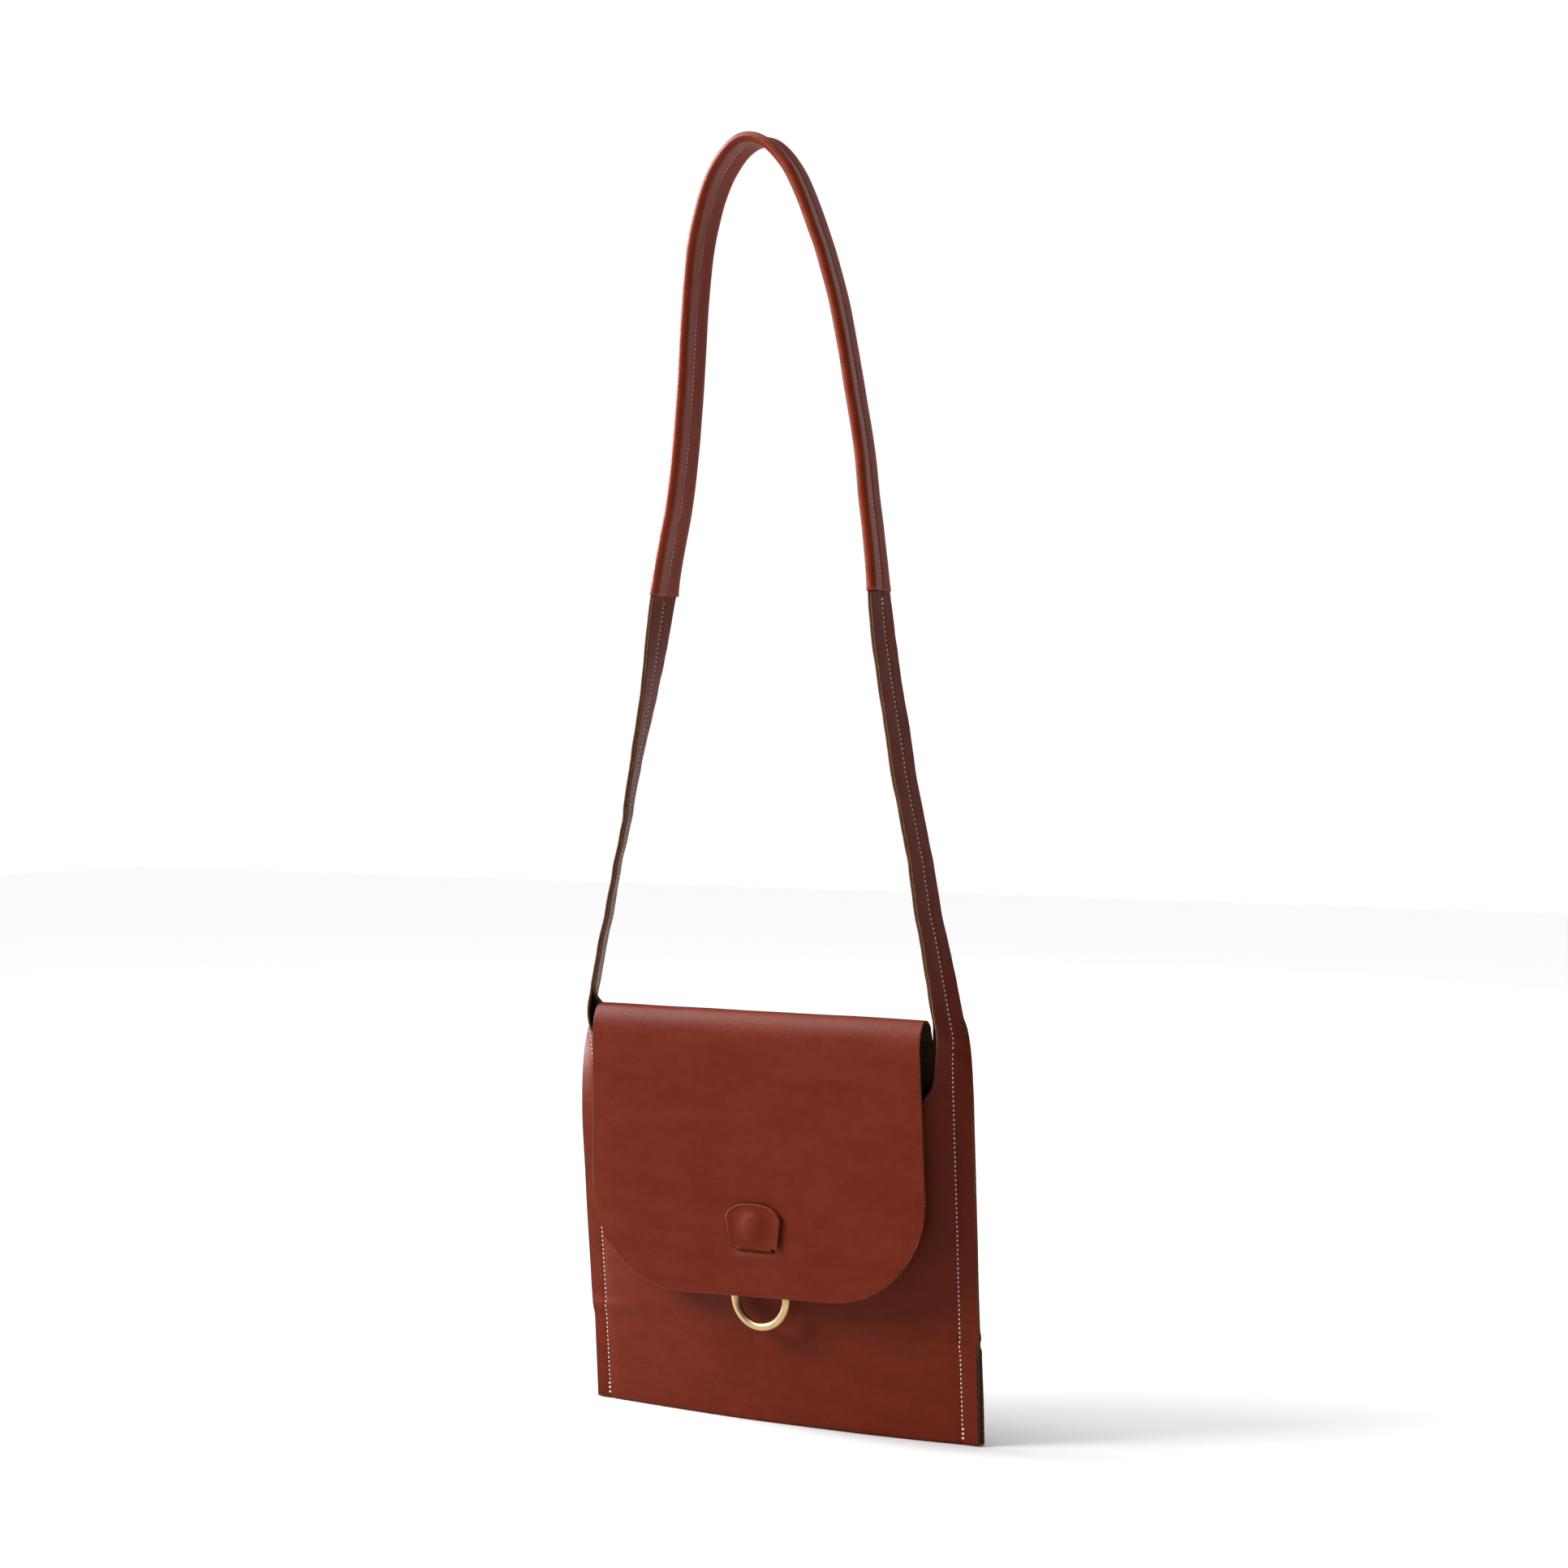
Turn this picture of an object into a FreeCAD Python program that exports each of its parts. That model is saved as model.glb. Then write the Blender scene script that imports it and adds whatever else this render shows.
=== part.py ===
import FreeCAD, Part
import math
import os

from FreeCAD import Vector

# Leather crossbody bag, held by the crown of its strap. Millimetres, +X to the
# wearer's left when worn in front, -Y towards the flap side, +Z up.
# Heights in this file are counted from the bag's lower edge, and save() moves
# everything so that the origin is the underside of the strap's crown.

# leather
ply = 1.6
edge_gap = 0.3

# bag body
bag_height = 256.4
seam_half_bottom = 125.5
seam_half_top = 128.0
seam_lean = -0.083
seam_start_y = 1.0
flange_bottom = 10.0
flange_side = 12.0
ear_top = 243.0
pleat_height = 62.0
pleat_blend = 10.0
flange_turn = 7.0
ear_turn = 61.0
ear_turn_start = 170.0

# mouth cut in the front panel
mouth_half = 120.0
mouth_bottom = 205.0
mouth_radius = 20.0

# flap and its rolled fold
roll_radius = 8.8
roll_y = -27.3
flap_half_top = 113.5
flap_half = 117.5
flap_low_left = 78.5
flap_low_right = 85.0
flap_corner = 64.0

# pull tab, snap and ring
tab_x = 1.0
tab_low = 112.8
tab_side_top = 130.6
tab_arch_top = 139.0
tab_half_low = 16.9
tab_half_top = 18.3
tab_thickness = 2.4
neck_half = 12.5
loop_half = 4.0
loop_leather = 1.4
ring_centre_z = 82.0
ring_radius = 18.0
ring_wire = 2.5
ring_y = -25.6
snap_z = 126.0
snap_flat = 9.0
snap_face_y = -25.3
snap_radius = 9.0
washer_radius = 7.5
washer_thickness = 0.8
patch_half = 10.5

# strap
strap_width = 26.0
core_width = 24.0
sleeve_width = 28.5
sleeve_thickness = 6.4
sleeve_end = 512.0
strap_y = -13.5
crown_x = -10.0
crown_z = 792.3
knuckle = 12.6
fold_axis_y = -13.6
fold_axis_z = 262.0
bend_axis_y = -14.0
bend_axis_z = 498.0

# thread
thread_width = 0.9
thread_height = 0.5
thread_gap = 0.25
# height and tilt in degrees of the stitch line down each side of the bag
seam_thread_rows = [(4, 4), (62, 8.5), (120, 12), (170, 17), (200, 22), (222, 33), (241, 47)]

origin = Vector(crown_x, strap_y, crown_z - sleeve_thickness / 2)


def save(name, shape):
    moved = shape.copy()
    moved.translate(origin * -1)
    moved.exportStep("parts/%s.step" % name)
    print(name, "volume %.0f" % moved.Volume, "solids", len(moved.Solids), moved.isValid())


# ---- plan curves of the two panels ----

def seam_point(z):
    share = z / bag_height
    x = seam_half_bottom + (seam_half_top - seam_half_bottom) * share
    return x, seam_start_y + seam_lean * z


def flange_angle(z):
    rise = max(0.0, (z - ear_turn_start) / (bag_height - ear_turn_start))
    low = flange_turn * min(1.0, z / pleat_height)
    return math.radians(low + ear_turn * rise ** 2)


def flange_width(z):
    return flange_bottom + (flange_side - flange_bottom) * min(1.0, z / pleat_height)


def curve_point(x_share, z, bulge, flatness, back):
    seam_x, seam_y = seam_point(z)
    set_back = back / math.cos(flange_angle(z))
    return Vector(x_share * seam_x, seam_y + set_back + bulge * (1 - abs(x_share) ** flatness), z)


def plan_points(z, bulge, flatness, back):
    shares = [-1, -0.93, -0.82, -0.6, -0.3, 0, 0.3, 0.6, 0.82, 0.93, 1]
    points = [curve_point(share, z, bulge, flatness, back) for share in shares]
    turn = flange_angle(z)
    reach = flange_width(z)
    out = Vector(reach * math.cos(turn), reach * math.sin(turn), 0)
    right = points[-1] + out
    left = points[0] + Vector(-out.x, out.y, 0)
    return left, points, right


def shifted(points, distance):
    moved = []
    for i, point in enumerate(points):
        before = points[max(i - 1, 0)]
        after = points[min(i + 1, len(points) - 1)]
        along = after - before
        normal = Vector(-along.y, along.x, 0)
        normal.normalize()
        moved.append(point + normal * distance)
    return moved


def plan_wire(z, bulge, flatness, back, thickness):
    left, points, right = plan_points(z, bulge, flatness, back)
    whole = shifted([left] + points + [right], thickness)
    left_back = whole[0]
    right_back = whole[-1]
    behind = whole[1:-1]
    front_curve = Part.BSplineCurve()
    front_curve.interpolate(points)
    back_curve = Part.BSplineCurve()
    back_curve.interpolate(behind[::-1])
    edges = [
        Part.makeLine(left, points[0]),
        front_curve.toShape(),
        Part.makeLine(points[-1], right),
        Part.makeLine(right, right_back),
        Part.makeLine(right_back, behind[-1]),
        back_curve.toShape(),
        Part.makeLine(behind[0], left_back),
        Part.makeLine(left_back, left),
    ]
    return Part.Wire(edges)


def panel(stations):
    wires = [plan_wire(*station) for station in stations]
    return Part.makeLoft(wires, True, True)


def mouth_cutter():
    depth = 120.0
    tall = 100.0
    box = Part.makeBox(2 * mouth_half, depth, tall, Vector(-mouth_half, -depth, mouth_bottom))
    corners = []
    for edge in box.Edges:
        middle = edge.CenterOfMass
        if abs(middle.y + depth / 2) < 1 and abs(middle.z - mouth_bottom) < 1:
            corners.append(edge)
    return box.makeFillet(mouth_radius, corners)


def front_panel():
    # height, bulge, flatness, set back, thickness; upright where the snap sits
    flat_low = snap_z - snap_flat
    flat_high = snap_z + snap_flat
    stations = [
        (0.0, -8.0, 2.0, 0.0, ply),
        (pleat_height, -10.0, 2.2, 0.0, ply),
        (104.0, -13.0, 2.4, 0.0, ply),
        (flat_low, snap_face_y - seam_point(flat_low)[1], 2.8, 0.0, ply),
        (flat_high, snap_face_y - seam_point(flat_high)[1], 2.8, 0.0, ply),
        (170.0, -19.0, 3.4, 0.0, ply),
        (mouth_bottom, -17.5, 4.4, 0.0, ply),
        (ear_top, -15.0, 9.0, 0.0, ply),
    ]
    return panel(stations).cut(mouth_cutter())


def back_panel():
    below = 3 * ply
    above = ply
    stations = [
        (0.0, 6.0, 2.2, below, ply),
        (pleat_height - 1.0, 8.0, 2.4, below, ply),
        (pleat_height + pleat_blend, 9.0, 2.4, above, ply),
        (125.0, 8.0, 2.6, above, ply),
        (170.0, 5.0, 3.0, above, ply),
        (mouth_bottom, 2.0, 3.0, above, ply),
        (ear_top, 0.1, 3.0, above, ply),
    ]
    body = panel(stations)
    top_low = ear_top - 0.2
    lip_y = roll_y + roll_radius + edge_gap
    lip_height = bag_height - roll_radius - top_low
    lip = Part.makeBox(2 * flap_half_top, ply, lip_height, Vector(-flap_half_top, lip_y, top_low))
    return body.fuse(lip)


def bottom_pleat():
    top = pleat_height - 1.0
    lap = 0.05
    front_leg = panel([(0.0, -8.0, 2.0, ply, ply), (top, 0.0, 2.0, ply, ply)])
    back_leg = panel([(0.0, 6.0, 2.2, 2 * ply, ply), (top, 0.0, 2.2, 2 * ply - lap, ply)])
    return front_leg.fuse(back_leg)


# ---- flap ----

def flap_profile_y():
    # height and outer face of the hanging part, from the fold down
    return [
        (bag_height - roll_radius, roll_y - roll_radius),
        (190.0, -36.3),
        (155.0, -35.0),
        (snap_z + snap_flat, -33.6),
        (snap_z - snap_flat, -33.6),
        (98.0, -32.4),
        (70.0, -31.2),
    ]


def flap_outer_y(z):
    rows = flap_profile_y()
    for (high, y_high), (low, y_low) in zip(rows, rows[1:]):
        if z >= low:
            share = (z - low) / (high - low)
            return y_low + (y_high - y_low) * share
    return rows[-1][1]


def flap_sheet():
    centre = Vector(-flap_half, roll_y, bag_height - roll_radius)
    inner = roll_radius - ply
    outer_face = [Vector(-flap_half, y, z) for z, y in flap_profile_y()]
    inner_face = [Vector(-flap_half, y + ply, z) for z, y in flap_profile_y()]
    tail_outer = centre + Vector(0, roll_radius, 0)
    tail_inner = centre + Vector(0, inner, 0)
    top_outer = centre + Vector(0, 0, roll_radius)
    top_inner = centre + Vector(0, 0, inner)
    edges = [
        Part.Arc(tail_outer, top_outer, outer_face[0]).toShape(),
        Part.makePolygon(outer_face),
        Part.makeLine(outer_face[-1], inner_face[-1]),
        Part.makePolygon(inner_face[::-1]),
        Part.Arc(inner_face[0], top_inner, tail_inner).toShape(),
        Part.makeLine(tail_inner, tail_outer),
    ]
    loose = []
    for item in edges:
        loose.extend(item.Edges)
    face = Part.Face(Part.Wire(loose))
    return face.extrude(Vector(2 * flap_half, 0, 0))


def flap_outline():
    front = -60.0
    deep = 70.0
    high = bag_height + 5
    corners = [
        Vector(-flap_half_top, front, high),
        Vector(flap_half_top, front, high),
        Vector(flap_half, front, 170.0),
        Vector(flap_half, front, flap_low_right),
        Vector(-flap_half, front, flap_low_left),
        Vector(-flap_half, front, 170.0),
        Vector(-flap_half_top, front, high),
    ]
    block = Part.Face(Part.makePolygon(corners)).extrude(Vector(0, deep, 0))
    lower = []
    for edge in block.Edges:
        middle = edge.CenterOfMass
        if abs(middle.y - front - deep / 2) < 1 and middle.z < 100:
            lower.append(edge)
    return block.makeFillet(flap_corner, lower)


def neck_slit():
    low = tab_low - 4.0
    return Part.makeBox(2 * neck_half + 1, 12, 2.6, Vector(tab_x - neck_half - 0.5, -40, low))


def stem_hole():
    start = Vector(tab_x, -45, snap_z)
    return Part.makeCylinder(3.2, 16, start, Vector(0, 1, 0))


def flap():
    return flap_sheet().common(flap_outline()).cut(neck_slit()).cut(stem_hole())


# ---- pull tab ----

def tab_head():
    start = flap_outer_y(snap_z) - tab_thickness
    low_left = Vector(tab_x - tab_half_low, start, tab_low)
    low_right = Vector(tab_x + tab_half_low, start, tab_low)
    high_left = Vector(tab_x - tab_half_top, start, tab_side_top)
    high_right = Vector(tab_x + tab_half_top, start, tab_side_top)
    arch = Vector(tab_x, start, tab_arch_top)
    edges = [
        Part.makeLine(low_left, low_right),
        Part.makeLine(low_right, high_right),
        Part.Arc(high_right, arch, high_left).toShape(),
        Part.makeLine(high_left, low_left),
    ]
    plate = Part.Face(Part.Wire(edges)).extrude(Vector(0, tab_thickness - 0.3, 0))
    dome_radius = 32.0
    dome_rise = 1.0
    dome = Part.makeSphere(dome_radius, Vector(tab_x, start - dome_rise + dome_radius, snap_z))
    slab = Part.makeBox(40, 2.4, 30, Vector(tab_x - 20, start - dome_rise, snap_z - 15))
    return plate.fuse(dome.common(slab))


def tab_strip():
    # neck through the slit, strip behind the flap, loop round the ring
    loop_z = ring_centre_z + ring_radius - 0.2
    inner = ring_wire + 0.6
    outer = inner + loop_leather
    slit_low = tab_low - 3.9
    neck_front = flap_outer_y(snap_z) - tab_thickness
    strip_front = ring_y - outer
    neck = Part.makeBox(2 * neck_half, strip_front + loop_leather - neck_front, 2.0,
                        Vector(tab_x - neck_half, neck_front, slit_low + 0.2))
    riser = Part.makeBox(2 * neck_half, tab_thickness - 0.3, 4.0,
                         Vector(tab_x - neck_half, neck_front, slit_low + 0.2))
    wide = 2 * neck_half
    narrow = 2 * loop_half
    top = Part.makePolygon([
        Vector(tab_x - wide / 2, strip_front, slit_low + 2.2),
        Vector(tab_x + wide / 2, strip_front, slit_low + 2.2),
        Vector(tab_x + narrow / 2, strip_front, loop_z + 2.0),
        Vector(tab_x + narrow / 2, strip_front, loop_z),
        Vector(tab_x - narrow / 2, strip_front, loop_z),
        Vector(tab_x - narrow / 2, strip_front, loop_z + 2.0),
        Vector(tab_x - wide / 2, strip_front, slit_low + 2.2),
    ])
    strip = Part.Face(top).extrude(Vector(0, loop_leather, 0))
    centre = Vector(tab_x - loop_half, ring_y, loop_z)
    tube = Part.makeCylinder(outer, narrow, centre, Vector(1, 0, 0))
    closer = Part.makeBox(narrow, 2 * loop_leather, 7.5,
                          Vector(tab_x - loop_half, strip_front, loop_z))
    hole = Part.makeCylinder(inner, narrow + 2, centre - Vector(1, 0, 0), Vector(1, 0, 0))
    return neck.fuse(riser).fuse(strip).fuse(tube).fuse(closer).cut(hole)


def washer_pocket():
    depth = washer_thickness + 0.1
    start = Vector(tab_x, flap_outer_y(snap_z) - depth, snap_z)
    return Part.makeCylinder(washer_radius + 0.2, depth + 3, start, Vector(0, 1, 0))


def pull_tab():
    return tab_head().fuse(tab_strip()).cut(washer_pocket())


# ---- snap ----

def disc(radius, thickness, y):
    return Part.makeCylinder(radius, thickness, Vector(tab_x, y, snap_z), Vector(0, 1, 0))


def snap_stud():
    back = flap_outer_y(snap_z) + ply + 0.25
    plate = disc(snap_radius, 1.0, back)
    stud = disc(4.0, 1.6, back + 0.9)
    stem = disc(2.6, back - flap_outer_y(snap_z) + 0.3, flap_outer_y(snap_z) - 0.2)
    return plate.fuse(stud).fuse(stem)


def snap_stud_washer():
    return disc(washer_radius, washer_thickness - 0.2, flap_outer_y(snap_z) - washer_thickness)


def snap_magnet():
    face = snap_face_y - 0.05
    start = flap_outer_y(snap_z) + ply + 1.6
    body = disc(snap_radius, face - start, start)
    return body.cut(disc(4.5, 2.0, start - 0.5))


def snap_magnet_washer():
    return disc(washer_radius, 0.8, snap_face_y + ply + 0.1)


def snap_patch():
    y = snap_face_y + ply + 1.0
    patch = Part.makeBox(2 * patch_half, 1.2, 2 * patch_half,
                         Vector(tab_x - patch_half, y, snap_z - patch_half))
    upright = [edge for edge in patch.Edges if abs(edge.CenterOfMass.y - y - 0.6) < 0.1]
    return patch.makeFillet(5.0, upright)


def pull_ring():
    centre = Vector(tab_x, ring_y, ring_centre_z)
    return Part.makeTorus(ring_radius, ring_wire, centre, Vector(0, 1, 0))


# ---- strap ----

def section(centre, across, normal, width, thickness, shift):
    middle = centre + normal * shift
    half_a = across * (width / 2)
    half_n = normal * (thickness / 2)
    return [middle - half_a - half_n, middle + half_a - half_n,
            middle + half_a + half_n, middle - half_a + half_n]


def rounded_section(centre, across, normal, width, thickness):
    # flat faces with round edges, each edge in four facets
    flat = (width - thickness) / 2
    corners = []
    for end in (1, -1):
        for step in range(5):
            angle = math.radians(-90 + 45 * step)
            out = end * (flat + thickness / 2 * math.cos(angle))
            up = end * thickness / 2 * math.sin(angle)
            corners.append(centre + across * out + normal * up)
    return corners


def ribbon(loops):
    rails = []
    for i in range(len(loops[0])):
        curve = Part.BSplineCurve()
        curve.interpolate([loop[i] for loop in loops])
        rails.append(curve.toShape())
    faces = [Part.makeRuledSurface(rails[i - 1], rails[i]) for i in range(len(rails))]
    for loop in (loops[0], loops[-1]):
        faces.append(Part.Face(Part.makePolygon(loop + [loop[0]])))
    skin = Part.makeCompound(faces)
    skin.sewShape(0.001)
    solid = Part.makeSolid(skin.Shells[0])
    if solid.Volume < 0:
        solid.reverse()
    return solid


def sleeve_frames():
    # route of the strap's middle and the twist of its section, left end to right end
    route = [
        (-76.0, sleeve_end, 2.5), (-66.0, 562.0, 2.5), (-58.5, 617.0, 2.5), (-54.0, 676.0, 2.5),
        (-48.0, 731.0, 2.0), (-34.0, 773.5, 1.0), (crown_x, crown_z, 0.0), (12.0, 777.0, -5.0),
        (34.5, 731.0, -12.0), (51.5, 673.0, -15.0), (64.0, 608.0, -15.0), (71.0, 560.0, -13.0),
        (76.0, sleeve_end, -10.0),
    ]
    points = [Vector(x, strap_y, z) for x, z, twist in route]
    curve = Part.BSplineCurve()
    curve.interpolate(points)
    frames = []
    for point, (x, z, twist) in zip(points, route):
        along = curve.tangent(curve.parameter(point))[0]
        across = FreeCAD.Rotation(along, twist).multVec(Vector(0, 1, 0))
        frames.append((point, across, along.cross(across) * -1))
    return frames


def core_ply(side):
    loops = []
    for centre, across, normal in sleeve_frames():
        loops.append(section(centre, across, normal, core_width, ply, side * ply / 2))
    return ribbon(loops)


def strap_sleeve():
    outer = []
    inner = []
    for centre, across, normal in sleeve_frames():
        outer.append(rounded_section(centre, across, normal, sleeve_width, sleeve_thickness))
        inner.append(section(centre, across, normal, core_width + 0.2, 2 * ply + 0.1, 0))
    return ribbon(outer).cut(ribbon(inner))


def leg_frames(side):
    # height, half spread, y, and how far the strap's width is turned from the X axis
    if side > 0:
        turns = [74.0, 82.0, 88.0, 88.0, 90.0, 92.0]
    else:
        turns = [69.0, 74.0, 68.0, 74.0, 85.0, 89.0]
    rows = [
        (244.0, 128.5, -19.5), (300.0, 116.8, -19.4), (352.0, 105.2, -17.8),
        (430.0, 89.6, -17.0), (480.0, 80.6, -15.4), (sleeve_end, 76.0, strap_y),
    ]
    frames = []
    for (z, spread, y), turn in zip(rows, turns):
        angle = math.radians(turn)
        across = Vector(side * math.cos(angle), math.sin(angle), 0)
        normal = Vector(-side * math.sin(angle), math.cos(angle), 0)
        frames.append((Vector(side * spread, y, z), across, normal))
    return frames


def end_trim():
    # leaves rounded ends on the strap legs, so that they can fold at both axes
    wide = 400.0
    side = Vector(1, 0, 0)
    low_box = Part.makeBox(wide, 80, 40, Vector(-wide / 2, -60, fold_axis_z - 40))
    low_round = Part.makeCylinder(knuckle, wide, Vector(-wide / 2, fold_axis_y, fold_axis_z), side)
    high_box = Part.makeBox(wide, 80, 40, Vector(-wide / 2, -60, bend_axis_z))
    high_round = Part.makeCylinder(knuckle, wide, Vector(-wide / 2, bend_axis_y, bend_axis_z), side)
    return low_box.cut(low_round), high_box.cut(high_round)


def leg_ply(side, layer):
    # layer is -1 for the outer (front panel) ply and 1 for the inner (back panel) ply
    loops = []
    for centre, across, normal in leg_frames(side):
        loops.append(section(centre, across, normal, strap_width, ply, layer * ply / 2))
    low, high = end_trim()
    return ribbon(loops).cut(low).cut(high)


# ---- thread runs ----

def seam_thread(side):
    loops = []
    for z, tilt in seam_thread_rows:
        x, y = seam_point(z)
        turn = math.radians(tilt)
        across = Vector(side * math.cos(turn), math.sin(turn), 0)
        outward = Vector(side * math.sin(turn), -math.cos(turn), 0)
        loops.append(section(Vector(side * x, y, z), across, outward,
                             thread_width, thread_height, thread_height / 2 + thread_gap))
    return ribbon(loops)


def leg_thread(side):
    loops = []
    for centre, across, normal in leg_frames(side):
        loops.append(section(centre, across, normal, thread_width, thread_height,
                             -ply - thread_height / 2 - 0.05))
    low, high = end_trim()
    return ribbon(loops).cut(low).cut(high)


def sleeve_thread():
    loops = []
    for centre, across, normal in sleeve_frames():
        loops.append(section(centre, across, normal, thread_width, thread_height,
                             -sleeve_thickness / 2 - thread_height / 2 - 0.05))
    return ribbon(loops)


def main():
    os.makedirs("parts", exist_ok=True)
    save("front_panel", front_panel())
    save("back_panel", back_panel())
    save("bottom_pleat", bottom_pleat())
    save("flap", flap())
    save("pull_tab", pull_tab())
    save("pull_ring", pull_ring())
    save("snap_stud", snap_stud())
    save("snap_stud_washer", snap_stud_washer())
    save("snap_magnet", snap_magnet())
    save("snap_magnet_washer", snap_magnet_washer())
    save("snap_patch", snap_patch())
    save("strap_sleeve", strap_sleeve())
    save("strap_core_outer", core_ply(1))
    save("strap_core_inner", core_ply(-1))
    save("sleeve_thread", sleeve_thread())
    for name, side in (("left", -1), ("right", 1)):
        save("leg_front_ply_" + name, leg_ply(side, -1))
        save("leg_back_ply_" + name, leg_ply(side, 1))
        save("leg_thread_" + name, leg_thread(side))
        save("side_thread_" + name, seam_thread(side))


main()
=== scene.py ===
import math

import bpy
from mathutils import Matrix, Vector, noise


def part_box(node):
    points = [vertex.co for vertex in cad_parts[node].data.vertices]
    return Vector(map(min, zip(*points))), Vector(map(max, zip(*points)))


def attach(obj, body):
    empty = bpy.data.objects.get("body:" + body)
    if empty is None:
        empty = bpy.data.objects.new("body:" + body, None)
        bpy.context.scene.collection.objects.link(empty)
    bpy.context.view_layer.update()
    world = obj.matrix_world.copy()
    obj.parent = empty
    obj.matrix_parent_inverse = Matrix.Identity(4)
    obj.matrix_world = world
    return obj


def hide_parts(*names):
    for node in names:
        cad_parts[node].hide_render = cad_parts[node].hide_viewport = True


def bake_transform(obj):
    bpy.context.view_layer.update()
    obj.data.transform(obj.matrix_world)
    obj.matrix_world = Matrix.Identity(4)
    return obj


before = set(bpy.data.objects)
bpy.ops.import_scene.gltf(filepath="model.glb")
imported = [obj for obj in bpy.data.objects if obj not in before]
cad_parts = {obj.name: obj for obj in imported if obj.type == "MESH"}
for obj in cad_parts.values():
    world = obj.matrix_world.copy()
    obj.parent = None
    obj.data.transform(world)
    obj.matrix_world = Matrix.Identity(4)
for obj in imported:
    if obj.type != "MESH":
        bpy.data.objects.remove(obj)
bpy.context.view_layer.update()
mm = 0.001

# millimetres: heights are counted from the bag's lower edge, x from its middle, and y backwards
# from a plane 25.6 behind the ring's middle
panelLow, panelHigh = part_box("front_panel")
ringLow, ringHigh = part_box("pull_ring")
bag = {
    "ply": 1.6,
    "height": 256.4,
    "seamBottom": 125.5, "seamTop": 128.0,
    "seamStart": 1.0, "seamLean": -0.083,
    "flangeBottom": 10.0, "flangeSide": 12.0,
    "pleatHeight": 61.0, "notch": 62.0,
    "planTop": 243.0,  # the body's plan curve stays the same above this height
    "flangeTurn": 7.0, "earTurn": 61.0, "earTurnStart": 170.0,
    "mouthBottom": 205.0, "mouthRadius": 20.0,
    "ringY": -25.6,
}
originX = (panelLow.x + panelHigh.x) / 2
originY = (ringLow.y + ringHigh.y) / 2 - bag["ringY"] * mm
originZ = panelLow.z


def place(x, y, z):
    return Vector((originX + x * mm, originY + y * mm, originZ + z * mm))


def mix(a, b, t):
    return a + (b - a) * t


def ease(low, high, value):
    t = min(1.0, max(0.0, (value - low) / (high - low)))
    return t * t * (3 - 2 * t)


def bump(value, centre, width):
    return math.exp(-((value - centre) / width) ** 2)


def alongRows(rows, key):
    # Catmull-Rom through rows whose first entry is the key
    last = len(rows) - 1
    spot = 0
    while spot < last - 1 and key > rows[spot + 1][0]:
        spot += 1
    a, b = rows[spot], rows[spot + 1]
    before = rows[max(spot - 1, 0)]
    after = rows[min(spot + 2, last)]
    gap = b[0] - a[0]
    t = min(1.0, max(0.0, (key - a[0]) / gap))
    found = []
    for i in range(1, len(a)):
        slopeA = (b[i] - before[i]) / (b[0] - before[0]) * gap
        slopeB = (after[i] - a[i]) / (after[0] - a[0]) * gap
        found.append((2 * t ** 3 - 3 * t ** 2 + 1) * a[i] + (t ** 3 - 2 * t ** 2 + t) * slopeA
                     + (-2 * t ** 3 + 3 * t ** 2) * b[i] + (t ** 3 - t ** 2) * slopeB)
    return found


frontShape = {
    # height, bulge at the middle, how flat the bulge is
    "stations": [(0, 8, 2.0), (62, 10, 2.2), (104, 13, 2.4), (135, 16, 2.8), (170, 19, 3.4),
                 (205, 17.5, 4.4), (243, 15, 9.0)],
    "foldRadius": 1.6,
    "legStart": 222.0, "legEnd": 256.0,
    "earInner": 28.0, "earTop": 11.0,
}
backShape = {
    "stations": [(0, -6, 2.2), (62, -8, 2.4), (72, -9, 2.4), (125, -8, 2.6), (170, -5, 3.0),
                 (205, -2, 3.0), (243, -0.1, 3.0)],
    "legStart": 249.0, "legEnd": 266.0,
    "flapRow": 243.0,
    "earInner": 13.2,
}
legShape = {
    # height, half spread, y, turn of the strap's width from the X axis
    "right": [(244, 128.5, -19.5, 74), (300, 116.8, -19.4, 82), (352, 105.2, -17.8, 88),
              (430, 89.6, -17.0, 88), (480, 80.6, -15.4, 90), (512, 76.0, -13.5, 93),
              (524, 74.4, -13.5, 95)],
    "left": [(244, 128.5, -19.5, 64), (300, 116.8, -19.4, 64), (352, 105.2, -17.8, 63),
             (430, 89.6, -17.0, 72), (480, 80.6, -15.4, 85), (512, 76.0, -13.5, 90),
             (524, 73.8, -13.5, 92)],
    "half": 13.0,
    "plyJoin": 380.0, "sleeveStart": 512.0,
    "bendLow": 470.0,
    "foldLow": 238.0, "foldHigh": 300.0,
}


def seamSpot(z):
    share = z / bag["height"]
    return (mix(bag["seamBottom"], bag["seamTop"], share), bag["seamStart"] + bag["seamLean"] * z)


def flangeAngle(z):
    rise = min(1.0, max(0.0, (z - bag["earTurnStart"]) / (bag["height"] - bag["earTurnStart"])))
    return math.radians(bag["flangeTurn"] * min(1.0, z / bag["notch"]) + bag["earTurn"] * rise ** 2)


def flangeWidth(z):
    width = mix(bag["flangeBottom"], bag["flangeSide"], ease(52, 66, z))
    pucker = 0.5 * bump(z, 60.5, 3.0)
    return mix(width, legShape["half"], ease(215, 256, z)) - pucker


def backWidth(z):
    # the back stands a little proud below the notch
    return flangeWidth(z) + 1.7 * (1 - ease(56, 63, z))


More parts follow.
